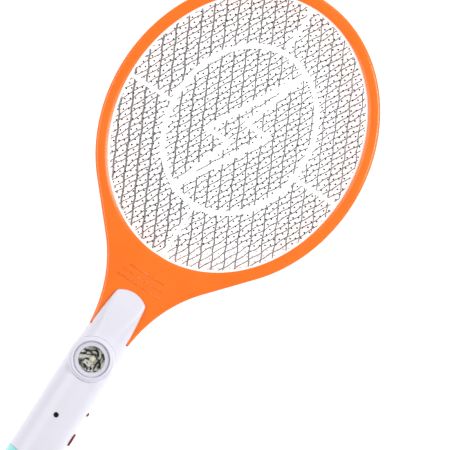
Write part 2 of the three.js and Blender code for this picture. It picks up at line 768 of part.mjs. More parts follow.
function torchBody() {
  const shoulder = torchDiameter / 2;
  const waist = torchWaist / 2;
  const flare = torchFlare / 2;
  const root = threadDiameter / 2 - threadDepth;
  const bore = neckBore / 2;
  const inner = waist - torchWall;
  const shell = turned([
    [flare - torchWall - 1.5, bodyEnd - 6], [flare - 1.5, bodyEnd - 6], [flare - 1.5, bodyEnd],
    [flare, bodyEnd], [flare - 0.6, bodyEnd + 12], [waist, -slotReach + 6], [waist, -slotReach + 22],
    [shoulder - 0.6, -1], [shoulder - 0.8, 0], [root, 0], [root, threadLength - 0.8],
    [root - 0.8, threadLength], [bore, threadLength], [bore, -2.5], [inner, -4], [inner, -slotReach],
    [flare - torchWall - 1.5, bodyEnd + 6], [flare - torchWall - 1.5, bodyEnd - 6],
  ], 32);
  const turns = 3;
  const start = (threadLength - turns * threadPitch) / 2;
  const ridge = wire(new Helix(root, start, threadPitch, turns), threadDepth * 2, 33, 5);
  const slot = plate(pill(knobWidth + contactGap * 2, slotLength), 5, cutReach, 8).translate(0, slotY, 0);
  const lightHole = sideways(rod(lightRadius + contactGap, -cutReach, -lightDepth, 12))
    .translate(0, lightY, 0);
  return cut(join(shell, ridge), slot, lightHole);
}

// The thumb piece of the torch's switch: a ribbed pill that follows the body's curve.
function slideKnob() {
  const topRadius = torchWaist / 2 + knobProud;
  const outline = plate(pill(knobWidth, knobLength), 5, cutReach, 8).translate(0, knobY, 0);
  const skin = tube(topRadius, torchWaist / 2 - torchWall, knobY - knobLength, knobY + knobLength, 48);
  const grooves = [];
  const grooveCount = 4;
  const groovePitch = 2.8;
  for (let groove = 0; groove < grooveCount; groove += 1) {
    const y = knobY + (groove - (grooveCount - 1) / 2) * groovePitch;
    grooves.push(tube(topRadius + 1, topRadius - 0.6, y - 0.5, y + 0.5, 48));
  }
  const stem = block(
    [-stemHalf, knobY - stemHalf, stemLow],
    [stemHalf, knobY + stemHalf, torchWaist / 2 - 1],
  );
  return cut(join(common(outline, skin), stem), ...grooves);
}

function addTorchSwitch(parent) {
  const leverHalf = 1.2;
  const leverTop = stemLow - contactGap;
  const leverLow = leverTop - 3;
  const switchTop = leverTop - 1.4;
  const switchLow = switchTop - 5;
  piece(parent, 'slide_knob', 'turquoise', slideKnob());
  piece(parent, 'switch_lever', 'black', block(
    [-leverHalf, knobY - leverHalf, leverLow],
    [leverHalf, knobY + leverHalf, leverTop],
  ));
  const roomHalf = leverHalf + contactGap;
  const travelRoom = block(
    [-roomHalf, knobY - roomHalf - knobTravel, leverLow - contactGap],
    [roomHalf, knobY + roomHalf, leverTop + 1],
  );
  piece(parent, 'slide_switch', 'steel', cut(
    block([-4, knobY - 11, switchLow], [4, knobY + 6, switchTop]),
    travelRoom,
  ));
  const boardTop = switchLow - contactGap;
  piece(parent, 'torch_board', 'board', block(
    [-10, -slotReach - 25, boardTop - boardThickness],
    [10, -cellLength - 4, boardTop],
  ));
}

function addBattery(parent) {
  const cellTop = -2;
  const capTop = threadLength - contactGap;
  const capLow = capTop - 2.4;
  const bore = neckBore / 2 - contactGap;
  const pin = 2;
  piece(parent, 'contact_cap', 'black', tube(bore, pin + contactGap, capLow, capTop, 24));
  piece(parent, 'contact_pin', 'brass', turned([
    [0, capLow - 1.3], [3.4, capLow - 1.3], [3.4, capLow - contactGap], [pin, capLow - contactGap],
    [pin, capTop + 0.5], [0, capTop + 0.5],
  ], 16));
  const springWire = 0.9;
  const springLow = cellTop + contactGap + springWire / 2;
  const springHigh = capLow - 1.3 - contactGap - springWire / 2;
  const turns = 4;
  piece(parent, 'battery_spring', 'steel', wire(
    new Helix(5, springLow, (springHigh - springLow) / turns, turns, 3),
    springWire,
    36,
    5,
  ));
  const cell = cellDiameter / 2;
  piece(parent, 'battery_cell', 'cellWrap', turned([
    [0, cellTop - cellLength], [cell, cellTop - cellLength], [cell, cellTop - 2], [cell - 1, cellTop - 1],
    [3, cellTop - 1], [3, cellTop], [0, cellTop],
  ], 28));
  const cradleInner = cell + contactGap;
  const cradleOuter = torchWaist / 2 - torchWall - contactGap;
  const cradleLow = cellTop - cellLength + 3;
  const cradleHigh = -8;
  piece(parent, 'battery_cradle', 'black', common(
    tube(cradleOuter, cradleInner, cradleLow, cradleHigh, 28),
    block([-cutReach, cradleLow - 1, -cutReach], [cutReach, cradleHigh + 1, -2]),
  ));
}

function addTorchLamp(parent) {
  const ringOuter = ringDiameter / 2;
  const flare = torchFlare / 2;
  const lensRadius = ringOuter - 2.4;
  const lensHigh = -torchLength + 4;
  const lensLow = lensHigh - 1.6;
  const spigot = flare - 1.5 + contactGap;
  piece(parent, 'lens_ring', 'turquoise', turned([
    [lensRadius - 1.4, -torchLength], [ringOuter - 1, -torchLength], [ringOuter, -torchLength + 1],
    [ringOuter, bodyEnd - 2], [ringOuter - 1, bodyEnd - contactGap], [spigot, bodyEnd - contactGap],
    [spigot, lensHigh + contactGap + 1], [lensRadius + contactGap, lensHigh + contactGap + 1],
    [lensRadius + contactGap, lensLow - contactGap], [lensRadius - 1.4, lensLow - contactGap],
    [lensRadius - 1.4, -torchLength],
  ], 36));
  piece(parent, 'torch_lens', 'clear', rod(lensRadius, lensLow, lensHigh, 36));
  const mouth = flare - torchWall - 1.5 - contactGap;
  const mouthY = lensHigh + contactGap;
  const baseY = bodyEnd + 4;
  piece(parent, 'torch_reflector', 'mirror', turned([
    [mouth - 0.8, mouthY], [mouth, mouthY], [mouth, mouthY + 1], [mouth * 0.78, (mouthY + baseY) / 2],
    [4.6, baseY], [3.6, baseY], [3.6, baseY - 1], [mouth * 0.7, (mouthY + baseY) / 2 - 1],
    [mouth - 0.8, mouthY],
  ], 24));
  const boardLow = baseY + contactGap;
  const boardHigh = boardLow + boardThickness;
  piece(parent, 'torch_led_board', 'board', rod(lampBoardRadius, boardLow, boardHigh, 24));
  piece(parent, 'torch_led', 'ledYellow', turned([
    [0, baseY - 4], [1.6, baseY - 3.4], [2.8, baseY - 2], [2.8, baseY], [0, baseY],
  ], 16));
}

function addTorch(parent) {
  const wall = -torchDiameter / 2;
  piece(parent, 'torch_body', 'white', torchBody());
  piece(parent, 'torch_light', 'redButton', sideways(turned([
    [0, wall - 0.9], [0.8, wall - 0.7], [lightRadius, wall],
    [lightRadius, wall + lightDepth], [0, wall + lightDepth],
  ], 12)).translate(0, lightY, 0));
  addBattery(parent);
  addTorchSwitch(parent);
  addTorchLamp(parent);
}

// ---- The whole swatter ------------------------------------------------------------------------

const swatter = new THREE.Group();
const upper = new THREE.Group();
upper.position.set(0, headY, axisZ);
const torch = new THREE.Group();
torch.position.set(0, shoulderY, axisZ);
swatter.add(upper, torch);

addHead(upper);
addHandle(upper);
addTorch(torch);
piece(torch, 'torch_seal', 'sealRubber', tube(
  torchDiameter / 2 - 1,
  threadDiameter / 2 + contactGap,
  contactGap / 2,
  sealThickness,
  32,
));

export default swatter;
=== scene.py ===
import json
import math

import bmesh
import bpy
from bpy.props import FloatProperty, FloatVectorProperty, PointerProperty
from mathutils import Matrix, Vector

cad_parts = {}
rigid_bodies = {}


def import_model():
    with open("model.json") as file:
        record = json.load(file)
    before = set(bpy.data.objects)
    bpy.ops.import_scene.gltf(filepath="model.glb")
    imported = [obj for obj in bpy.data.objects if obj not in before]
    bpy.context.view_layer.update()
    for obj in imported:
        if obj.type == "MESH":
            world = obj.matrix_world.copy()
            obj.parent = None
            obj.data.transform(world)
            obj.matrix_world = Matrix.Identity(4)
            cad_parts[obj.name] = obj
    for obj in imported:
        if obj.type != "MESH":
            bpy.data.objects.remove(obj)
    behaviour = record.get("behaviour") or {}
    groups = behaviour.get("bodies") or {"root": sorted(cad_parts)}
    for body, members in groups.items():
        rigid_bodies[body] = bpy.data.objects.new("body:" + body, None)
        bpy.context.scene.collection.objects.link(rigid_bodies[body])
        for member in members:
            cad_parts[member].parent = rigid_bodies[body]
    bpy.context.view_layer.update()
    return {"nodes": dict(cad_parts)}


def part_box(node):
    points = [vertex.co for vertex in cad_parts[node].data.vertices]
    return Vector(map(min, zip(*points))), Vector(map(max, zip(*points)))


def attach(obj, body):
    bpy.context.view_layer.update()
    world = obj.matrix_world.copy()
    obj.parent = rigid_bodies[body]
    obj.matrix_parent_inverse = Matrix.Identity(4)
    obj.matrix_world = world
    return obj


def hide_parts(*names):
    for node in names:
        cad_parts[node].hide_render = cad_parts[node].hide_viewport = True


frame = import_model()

bl_info = {
    "name": "Electric Fly Swatter",
    "version": (1, 0, 0),
    "blender": (4, 5, 0),
    "location": "3D Viewport > Sidebar > Swatter",
    "description": "Builds the surfaces of an electric fly swatter around its frame",
    "category": "Object",
}

MM = 0.001
X, Y, Z = Vector((1, 0, 0)), Vector((0, 1, 0)), Vector((0, 0, 1))


# ---- Places, taken from the frame ------------------------------------------------------------


def low(node):
    """Lowest corner of a frame node."""
    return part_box(node)[0]


def high(node):
    """Highest corner of a frame node."""
    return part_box(node)[1]


def middle(node):
    """Middle of a frame node's box."""
    return (low(node) + high(node)) / 2


def span(node):
    """Size of a frame node's box."""
    return high(node) - low(node)


HEAD = middle("grid_middle")
RIM_X = high("frame_front").x
RIM_Y = high("frame_front").y - HEAD.y
FRAME_TOP = high("frame_front").z - HEAD.z
PARTING = low("frame_front").z - HEAD.z
NECK_END = low("frame_front").y - HEAD.y
SPACER_LOW = low("spacer_front").z - HEAD.z
GRID_LEVEL = middle("grid_front").z - HEAD.z
SPACER_HIGH = GRID_LEVEL + 0.62 * MM
HANDLE_RADIUS = high("handle_back").x
HANDLE_END = low("handle_front").y - HEAD.y
TONGUE_TOP = high("handle_front").y - HEAD.y
LAMP = middle("lens_bezel")
SHOULDER = low("torch_seal").y - 0.15 * MM
TAIL = low("lens_ring").y
AXIS = Vector((0, 0, HEAD.z))


# ---- Sizes and colours that a user would change ----------------------------------------------


def length(label, description, millimetres):
    """A length setting, in metres, with its default given in millimetres."""
    return FloatProperty(
        name=label,
        description=description,
        default=millimetres * MM,
        min=0.0,
        precision=5,
        unit="LENGTH",
    )


def linear(code):
    """A colour's sRGB hex code as linear red, green, blue and alpha."""
    shares = [int(code[place:place + 2], 16) / 255 for place in (0, 2, 4)]
    return [s / 12.92 if s <= 0.04045 else ((s + 0.055) / 1.055) ** 2.4 for s in shares] + [1.0]


def colour(label, description, code):
    """A colour setting, with its default given as an sRGB hex code."""
    return FloatVectorProperty(
        name=label,
        description=description,
        subtype="COLOR",
        size=4,
        min=0.0,
        max=1.0,
        default=linear(code),
    )


class SwatterSizes(bpy.types.PropertyGroup):
    """Sizes of the surfaces that the frame leaves open."""

    rim_width: length("Rim width", "From the outside of the head's rim to its opening", 9.5)
    rim_round: length("Rim rounding", "Rounding of the rim's outer edge", 2.4)
    rim_slope: length("Rim slope", "Width of the slope beside the opening", 2.6)
    frame_wall: length("Frame wall", "Thickness of the moulded frame", 2.0)
    waist_half: length("Waist", "Half the width across the frame's two horns", 17.3)
    strand: length("Outer strand", "Width of an outer grid's strands", 0.82)
    strand_pitch: length("Outer pitch", "Across the strands of an outer grid", 9.1)
    fine_strand: length("Middle strand", "Width of the middle grid's strands", 0.2)
    fine_pitch: length("Middle pitch", "Across the strands of the middle grid", 3.9)
    weld: length("Weld", "Width of the weld on each crossing of the middle grid", 1.6)
    rib: length("Spacer rib", "Width of the spacers' oval and zigzag", 3.8)
    spoke: length("Spacer spoke", "Width of the spacers' spokes", 3.0)
    handle_wall: length("Handle wall", "Thickness of the handle's shells", 2.0)
    edge_round: length("Tongue rounding", "Rounding of the edges of the handle's tongue", 1.7)
    thread_pitch: length("Thread pitch", "From turn to turn of the torch's thread", 3.5)
    torch_wall: length("Torch wall", "Thickness of the torch's body", 2.2)


class SwatterColours(bpy.types.PropertyGroup):
    """Colours of the mouldings."""

    frame: colour("Frame", "Orange of the head's frame", "FF740C")
    handle: colour("Handle", "White of the handle and the torch", "DFDEE9")
    accent: colour("Accent", "Turquoise of the collar, the slider and the lens ring", "97E9E4")
    slider: colour("Slider", "Deeper turquoise of the slide switch's thumb piece", "66DAD2")
    button: colour("Button", "Red of the button and the lights", "741020")
    spacer: colour("Spacers", "White of the insulating spacers", "FBFBFA")


def sizes():
    """The size settings."""
    return bpy.context.scene.swatter_sizes


def colours():
    """The colour settings."""
    return bpy.context.scene.swatter_colours


# ---- Materials -------------------------------------------------------------------------------


def add_node(tree, kind, inputs=None, links=None, **settings):
    """Adds a node, sets its settings and unlinked inputs, links the rest and returns it."""
    node = tree.nodes.new(kind)
    for name, value in settings.items():
        setattr(node, name, value)
    for socket, value in (inputs or {}).items():
        node.inputs[socket].default_value = value
    for socket, source in (links or {}).items():
        tree.links.new(source, node.inputs[socket])
    return node


def bare_material(name):
    """A material that holds only its output, and that output."""
    material = bpy.data.materials.new(name)
    material.use_nodes = True
    material.node_tree.nodes.clear()
    return material, add_node(material.node_tree, "ShaderNodeOutputMaterial")


def ramp(tree, factor, stops):
    """A colour ramp over a factor, with (position, colour) stops."""
    node = add_node(tree, "ShaderNodeValToRGB", links={"Fac": factor})
    elements = node.color_ramp.elements
    for place, (position, shade) in enumerate(stops):
        element = elements[place] if place < 2 else elements.new(position)
        element.position = position
        element.color = shade
    return node


def shaded(shade, factor):
    """A linear colour made darker or lighter."""
    return [min(1.0, part * factor) for part in shade[:3]] + [1.0]


def surface(name, shade, roughness, blotch, grain, depth, fixed=None, tint=0.06, gloss=0.05):
    """A dielectric or metal whose colour and gloss drift over blotches of one size and whose
    surface has grain of another size and depth, all in metres."""
    material, output = bare_material(name)
    tree = material.node_tree
    place = add_node(tree, "ShaderNodeTexCoord").outputs["Object"]
    drift = add_node(
        tree,
        "ShaderNodeTexNoise",
        inputs={"Scale": 1 / blotch, "Detail": 3.0, "Roughness": 0.55},
        links={"Vector": place},
    ).outputs["Fac"]
    body = ramp(tree, drift, [(0.3, shaded(shade, 1 - tint)), (0.7, shaded(shade, 1 + tint))])
    sheen = add_node(
        tree,
        "ShaderNodeMapRange",
        inputs={"From Min": 0.3, "From Max": 0.7, "To Min": roughness - gloss, "To Max": roughness + gloss},
        links={"Value": drift},
    )
    pits = add_node(
        tree,
        "ShaderNodeTexNoise",
        inputs={"Scale": 1 / grain, "Detail": 2.0},
        links={"Vector": place},
    )
    bump = add_node(
        tree,
        "ShaderNodeBump",
        inputs={"Strength": 1.0, "Distance": depth},
        links={"Height": pits.outputs["Fac"]},
    )
    shader = add_node(
        tree,
        "ShaderNodeBsdfPrincipled",
        inputs=fixed,
        links={
            "Base Color": body.outputs["Color"],
            "Roughness": sheen.outputs["Result"],
            "Normal": bump.outputs["Normal"],
        },
    )
    tree.links.new(shader.outputs["BSDF"], output.inputs["Surface"])
    return material


def orange_abs():
    """High-gloss orange ABS from a polished mould: a clear bright skin with a faint orange peel."""
    return surface("high_gloss_moulded_orange_abs", colours().frame, 0.24, 38 * MM, 1.6 * MM,
                   0.006 * MM, {"IOR": 1.53, "Coat Weight": 0.25, "Coat Roughness": 0.08}, tint=0.05)


def white_abs():
    """White ABS from a satin mould: a cool body colour whose highlights are broad and soft."""
    return surface("satin_moulded_white_abs", colours().handle, 0.36, 30 * MM, 0.9 * MM,
                   0.005 * MM, {"IOR": 1.53}, tint=0.015)


def turquoise_abs():
    """Turquoise ABS from a satin mould: a milky tint with a soft highlight."""
    return surface("satin_moulded_turquoise_abs", colours().accent, 0.38, 14 * MM, 0.8 * MM,
                   0.006 * MM, {"IOR": 1.53}, tint=0.04)


def slider_abs():
    """Turquoise ABS from a spark-eroded mould: deeper in tint and duller than the polished trim."""
    return surface("spark_eroded_turquoise_abs", colours().slider, 0.48, 6 * MM, 0.6 * MM,
                   0.01 * MM, {"IOR": 1.53}, tint=0.06)


def spacer_nylon():
    """Natural white nylon: a matt, waxy face with a painted glow, a faint white emission that brightens it
    from within.
    """
    # The Emission Color and Emission Strength paint a faint glow onto the spacers.
    return surface("moulded_white_nylon_with_painted_glow", colours().spacer, 0.55, 16 * MM, 0.7 * MM,
                   0.006 * MM, {"IOR": 1.53, "Emission Color": linear("FFFFFF"),
                                "Emission Strength": 0.22}, tint=0.01)


def grid_steel():
    """Galvanised expanded steel: grey strands whose zinc is duller and brighter in turn."""
    return surface("galvanised_expanded_steel", linear("88898C"), 0.5, 6 * MM, 0.5 * MM,
                   0.01 * MM, {"Metallic": 0.4}, tint=0.22, gloss=0.1)


def fine_wire():
    """Bright tinned wire: so thin and pale that only its welds catch the eye."""
    return surface("bright_tinned_wire", linear("DCDDDF"), 0.35, 4 * MM, 0.4 * MM,
                   0.004 * MM, {"Metallic": 0.2}, tint=0.05)


def weld_steel():
    """Spot-welded steel: each crossing is burnt dark and rough by its weld."""
    return surface("heat_darkened_weld_steel", linear("242426"), 0.6, 3 * MM, 0.4 * MM,
                   0.02 * MM, {"Metallic": 0.3}, tint=0.3)


def zinc_steel():
    """Zinc-plated screw steel: bright, with a fine directionless grain."""
    return surface("zinc_plated_screw_steel", linear("B9BCC2"), 0.3, 4 * MM, 0.25 * MM,
                   0.008 * MM, {"Metallic": 1.0}, tint=0.08)


def brass():
    """Stamped brass: warm metal with a slightly worn contact face."""
    return surface("stamped_contact_brass", linear("D0A352"), 0.28, 4 * MM, 0.3 * MM,
                   0.006 * MM, {"Metallic": 1.0}, tint=0.1)


def black_plastic():
    """Black moulded nylon: nearly black with a dull, finely eroded skin."""
    return surface("spark_eroded_black_nylon", linear("17171A"), 0.5, 8 * MM, 0.35 * MM,
                   0.015 * MM, {"IOR": 1.53}, tint=0.15)


def red_plastic():
    """Red polycarbonate: deep colour under a glossy skin, as a button or a light's lens has."""
    return surface("glossy_moulded_red_polycarbonate", colours().button, 0.22, 5 * MM, 0.5 * MM,
                   0.004 * MM, {"IOR": 1.58, "Coat Weight": 0.3}, tint=0.08)


def seal_rubber():
    """Nitrile rubber: dark grey and dull, with a faint bloom."""
    return surface("moulded_nitrile_rubber", linear("2C2C2E"), 0.8, 5 * MM, 0.3 * MM,
                   0.01 * MM, {"IOR": 1.52}, tint=0.12)


def lead_sleeve():
    """Extruded PVC sleeve: a red lead with a soft sheen."""
    return surface("extruded_red_pvc_sleeve", linear("B3242C"), 0.45, 6 * MM, 0.4 * MM,
                   0.004 * MM, {"IOR": 1.53}, tint=0.06)


def cell_wrap():
    """Heat-shrunk PVC film on a battery cell: glossy blue with slight shrink waves."""
    return surface("heat_shrunk_blue_pvc", linear("2C6BB0"), 0.25, 9 * MM, 2.2 * MM,
                   0.03 * MM, {"IOR": 1.53}, tint=0.05)


def winding_tape():
    """Polyester winding tape: translucent yellow over the coil's copper, lapped in turns."""
    material, output = bare_material("wound_polyester_transformer_tape")
    tree = material.node_tree
    place = add_node(tree, "ShaderNodeTexCoord").outputs["Object"]
    laps = add_node(
        tree,
        "ShaderNodeTexWave",
        inputs={"Scale": 1 / (6 * MM), "Distortion": 0.4, "Detail": 1.0},
        links={"Vector": place},
        bands_direction="Z",
    ).outputs["Fac"]
    body = ramp(tree, laps, [(0.2, linear("C79A2B")), (0.8, linear("E6C34F"))])
    bump = add_node(
        tree,
        "ShaderNodeBump",
        inputs={"Strength": 0.6, "Distance": 0.05 * MM},
        links={"Height": laps},
    )
    shader = add_node(
        tree,
        "ShaderNodeBsdfPrincipled",
        inputs={"Roughness": 0.35, "IOR": 1.57},
        links={"Base Color": body.outputs["Color"], "Normal": bump.outputs["Normal"]},
    )
    tree.links.new(shader.outputs["BSDF"], output.inputs["Surface"])
    return material


def dipped_epoxy():
    """Dip-coated epoxy on a film capacitor: a glossy red-brown skin that pools a little."""
    return surface("dip_coated_brown_epoxy", linear("7A3B1E"), 0.2, 5 * MM, 1.8 * MM,
                   0.04 * MM, {"IOR": 1.55, "Coat Weight": 0.4}, tint=0.1)


def circuit_board():
    """Glass-epoxy board under green solder mask: copper tracks show as lighter raised lines."""
    material, output = bare_material("solder_masked_glass_epoxy")
    tree = material.node_tree
    place = add_node(tree, "ShaderNodeTexCoord").outputs["Object"]
    tracks = add_node(
        tree,
        "ShaderNodeTexBrick",
        inputs={
            "Scale": 1 / (9 * MM),
            "Color1": linear("1B6B3C"),
            "Color2": linear("1F7442"),
            "Mortar": linear("58A468"),
            "Mortar Size": 0.035,
            "Brick Width": 0.7,
            "Row Height": 0.3,
        },
        links={"Vector": place},
    )
    bump = add_node(
        tree,
        "ShaderNodeBump",
        inputs={"Strength": 1.0, "Distance": 0.035 * MM},
        links={"Height": tracks.outputs["Fac"]},
    )
    shader = add_node(
        tree,
        "ShaderNodeBsdfPrincipled",
        inputs={"Roughness": 0.4, "IOR": 1.55},
        links={"Base Color": tracks.outputs["Color"], "Normal": bump.outputs["Normal"]},
    )
    tree.links.new(shader.outputs["BSDF"], output.inputs["Surface"])
    return material


def lamp_mirror():
    """Vacuum-metallised ABS: a mirror with ripples in its surface, and dark and bright patches painted into
    its colour as painted reflections.
    """
    material, output = bare_material("vacuum_metallised_reflector_abs")
    tree = material.node_tree
    place = add_node(tree, "ShaderNodeTexCoord").outputs["Object"]
    ripples_and_painted_reflections = add_node(
        tree,
        "ShaderNodeTexNoise",
        inputs={"Scale": 1 / (8.5 * MM), "Detail": 1.2, "Distortion": 2.6},
        links={"Vector": place},
    ).outputs["Fac"]
    # Painted reflections: the ramp turns the ripple noise into dark and bright patches of base colour.
    body = ramp(tree, ripples_and_painted_reflections, [
        (0.39, linear("2A2B28")),
        (0.46, linear("7E807A")),
        (0.53, linear("CDCEC9")),
        (0.63, linear("FAFAF8")),
    ])
    bump = add_node(
        tree,
        "ShaderNodeBump",
        inputs={"Strength": 1.0, "Distance": 0.5 * MM},
        links={"Height": ripples_and_painted_reflections},
    )
    shader = add_node(
        tree,
        "ShaderNodeBsdfPrincipled",
        inputs={"Metallic": 0.4, "Roughness": 0.25},
        links={"Base Color": body.outputs["Color"], "Normal": bump.outputs["Normal"]},
    )
    tree.links.new(shader.outputs["BSDF"], output.inputs["Surface"])
    return material


def clear_lens():
    """Polished polystyrene lens: clear, with a hard highlight and faint moulding streaks."""
    material, output = bare_material("polished_clear_polystyrene")
    tree = material.node_tree
    place = add_node(tree, "ShaderNodeTexCoord").outputs["Object"]
    streaks = add_node(
        tree,
        "ShaderNodeTexNoise",
        inputs={"Scale": 1 / (7 * MM), "Detail": 1.0},
        links={"Vector": place},
    )
    bump = add_node(
        tree,
        "ShaderNodeBump",
        inputs={"Strength": 0.5, "Distance": 0.05 * MM},
        links={"Height": streaks.outputs["Fac"]},
    )
    skin = add_node(
        tree,
        "ShaderNodeBsdfPrincipled",
        inputs={"Base Color": linear("F6FAFA"), "Roughness": 0.03, "IOR": 1.59, "Metallic": 1.0},
        links={"Normal": bump.outputs["Normal"]},
    )
    clear = add_node(tree, "ShaderNodeBsdfTransparent", inputs={"Color": linear("FFFFFF")})
    share = add_node(
        tree,
        "ShaderNodeLayerWeight",
        inputs={"Blend": 0.12},
        links={"Normal": bump.outputs["Normal"]},
    )
    blend = add_node(tree, "ShaderNodeMixShader", links={"Fac": share.outputs["Facing"]})
    tree.links.new(clear.outputs["BSDF"], blend.inputs[1])
    tree.links.new(skin.outputs["BSDF"], blend.inputs[2])
    tree.links.new(blend.outputs["Shader"], output.inputs["Surface"])
    return material


def led_epoxy():
    """Yellow phosphor under clear epoxy: a pale yellow dome with a glossy skin."""
    return surface("phosphor_filled_led_epoxy", linear("F4EFD2"), 0.15, 2 * MM, 0.5 * MM,
                   0.004 * MM, {"IOR": 1.53, "Coat Weight": 0.6}, tint=0.08)


# ---- Mesh helpers ----------------------------------------------------------------------------


def settle(name, bm, material, body, nodes=(), sharp=32.0):
    """Makes a piece of a finished bmesh: smooth between its sharp edges, riding on its body."""
    mesh = bpy.data.meshes.new(name)
    bm.to_mesh(mesh)
    bm.free()
    mesh.shade_smooth()
    mesh.set_sharp_from_angle(angle=math.radians(sharp))
    mesh.materials.append(material)
    piece = bpy.data.objects.new(name, mesh)
    bpy.context.scene.collection.objects.link(piece)
    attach(piece, body)
    if nodes:
        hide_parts(*nodes)
    return piece


def ease_edges(piece, width, segments=3, angle=35.0):
    """Rounds a piece's sharp edges with a Bevel modifier."""
    bevel = piece.modifiers.new("eased_edges", "BEVEL")
    bevel.width = width
    bevel.segments = segments
    bevel.limit_method = "ANGLE"
    bevel.angle_limit = math.radians(angle)
    bevel.use_clamp_overlap = True
    bevel.harden_normals = True
    return piece


def loop_of(bm, points):
    """A closed loop of edges through points."""
    verts = [bm.verts.new(point) for point in points]
    return [bm.edges.new(pair) for pair in zip(verts, verts[1:] + verts[:1])]


def lofted(bm, loops):
    """Adds a skin through closed loops of equally many points and returns each loop's edges."""
    ring = loop_of(bm, loops[0])
    order = {edge.verts[0]: place for place, edge in enumerate(ring)}
    rings = [ring]
    for points in loops[1:]:
        made = bmesh.ops.extrude_edge_only(bm, edges=ring)["geom"]
        ring = [part for part in made if isinstance(part, bmesh.types.BMEdge) and part.is_boundary]
        fresh = {}
        for vert in {vert for edge in ring for vert in edge.verts}:
            partners = [edge.other_vert(vert) for edge in vert.link_edges]
            fresh[vert] = next(order[partner] for partner in partners if partner in order)
            vert.co = points[fresh[vert]]
        order = fresh
        rings.append(ring)
    return rings


def merged(bm, distance=0.002 * MM):
    """Merges doubles and turns the faces outwards."""
    bmesh.ops.remove_doubles(bm, verts=bm.verts[:], dist=distance)
    bmesh.ops.recalc_face_normals(bm, faces=bm.faces[:])
    return bm


def softened(profile, steps=5):
    """A profile of (radius, along) or (radius, along, rounding) points, in millimetres, with each
    corner that has a rounding drawn as a curve."""
    points = []
    for place, corner in enumerate(profile):
        here = Vector(corner[:2])
        if len(corner) < 3:
            points.append(here)
            continue
        before = Vector(profile[place - 1][:2])
        after = Vector(profile[(place + 1) % len(profile)][:2])
        start = here + (before - here).normalized() * corner[2]
        end = here + (after - here).normalized() * corner[2]
        for step in range(steps + 1):
            share = step / steps
            points.append(start.lerp(here, share).lerp(here.lerp(end, share), share))
    return [(point.x * MM, point.y * MM) for point in points]


def turn(bm, profile, at, axis, steps=72, closed=False):
    """Spins a profile of (radius, along) points, in metres, about an axis through a point. The
    profile's ends lie on the axis, unless it is closed."""
    across = Z if axis.z == 0 else X
    verts = [bm.verts.new(at + across * radius + axis * along) for radius, along in profile]
    pairs = list(zip(verts, verts[1:]))
    if closed:
        pairs.append((verts[-1], verts[0]))
    edges = [bm.edges.new(pair) for pair in pairs]
    bmesh.ops.spin(bm, geom=verts + edges, cent=at, axis=axis, angle=math.tau, steps=steps,
                   use_merge=True)
    return merged(bm)


def rod(bm, radius, start, axis, extent, steps=32):
    """Adds a plain round bar from a point along an axis, for holes and stems."""
    turning = Z.rotation_difference(axis).to_matrix().to_4x4()
    place = Matrix.Translation(start + axis * extent / 2) @ turning
    bmesh.ops.create_cone(bm, cap_ends=True, segments=steps, radius1=radius, radius2=radius,
                          depth=extent, matrix=place)
    return bm


def box(bm, lowest, highest):
    """Adds a block between two corners."""
    size = highest - lowest
    place = Matrix.Translation((lowest + highest) / 2) @ Matrix.Diagonal((*size, 1))
    bmesh.ops.create_cube(bm, size=1.0, matrix=place)
    return bm


def pill(bm, width, extent, depth, place):
    """Adds a pill-shaped prism: round ends along its own Y, depth along its own Z."""
    segments = 40
    half_step = Matrix.Rotation(math.pi / segments, 4, "Z")
    made = bmesh.ops.create_cone(bm, cap_ends=True, segments=segments, radius1=width / 2,
                                 radius2=width / 2, depth=depth, matrix=half_step)
    for vert in made["verts"]:
        vert.co.y += math.copysign((extent - width) / 2, vert.co.y)
        vert.co = place @ vert.co
    return made["verts"]


def combined(target, tool, operation):
    """The union, difference or intersection of two closed bmeshes, as a new bmesh."""
    scene = bpy.context.scene.collection.objects
    holders = []
    for bm in (target, tool):
        bmesh.ops.recalc_face_normals(bm, faces=bm.faces[:])
        mesh = bpy.data.meshes.new("combining")
        bm.to_mesh(mesh)
        bm.free()
        holder = bpy.data.objects.new("combining", mesh)
        scene.link(holder)
        holders.append(holder)
    modifier = holders[0].modifiers.new("combine", "BOOLEAN")
    modifier.operation = operation
    modifier.solver = "MANIFOLD"
    modifier.object = holders[1]
    evaluated = holders[0].evaluated_get(bpy.context.evaluated_depsgraph_get())
    result = bmesh.new()
    result.from_mesh(evaluated.to_mesh())
    evaluated.to_mesh_clear()
    for holder in holders:
        mesh = holder.data
        bpy.data.objects.remove(holder)
        bpy.data.meshes.remove(mesh)
    bmesh.ops.remove_doubles(result, verts=result.verts[:], dist=0.001 * MM)
    return result


def mirrored(bm):
    """Mirrors a mesh that lies about the handle's axis from front to back."""
    for vert in bm.verts:
        vert.co.z = 2 * HEAD.z - vert.co.z
    bmesh.ops.reverse_faces(bm, faces=bm.faces[:])
    return bm


def oval(half_x, half_y, steps, shift=0.0):
    """Points of an oval about the head's middle, anticlockwise from +X."""
    turns = [math.tau * step / steps for step in range(steps)]
    return [Vector((half_x * math.cos(a), half_y * math.sin(a) + shift)) for a in turns]


def dress(node, material):
    """Gives a frame node that stays visible its material."""
    frame["nodes"][node].material_slots[0].material = material


# ---- Frame of the head -----------------------------------------------------------------------

THROAT_START = math.radians(-45.7)
THROAT_STRAIGHT = 42 * MM
WAIST_FLARE = 3.7 * MM
NECK_HALF = 12 * MM
NECK_LENGTH = 6 * MM
THROAT_SCREW_SINK = 2.1 * MM


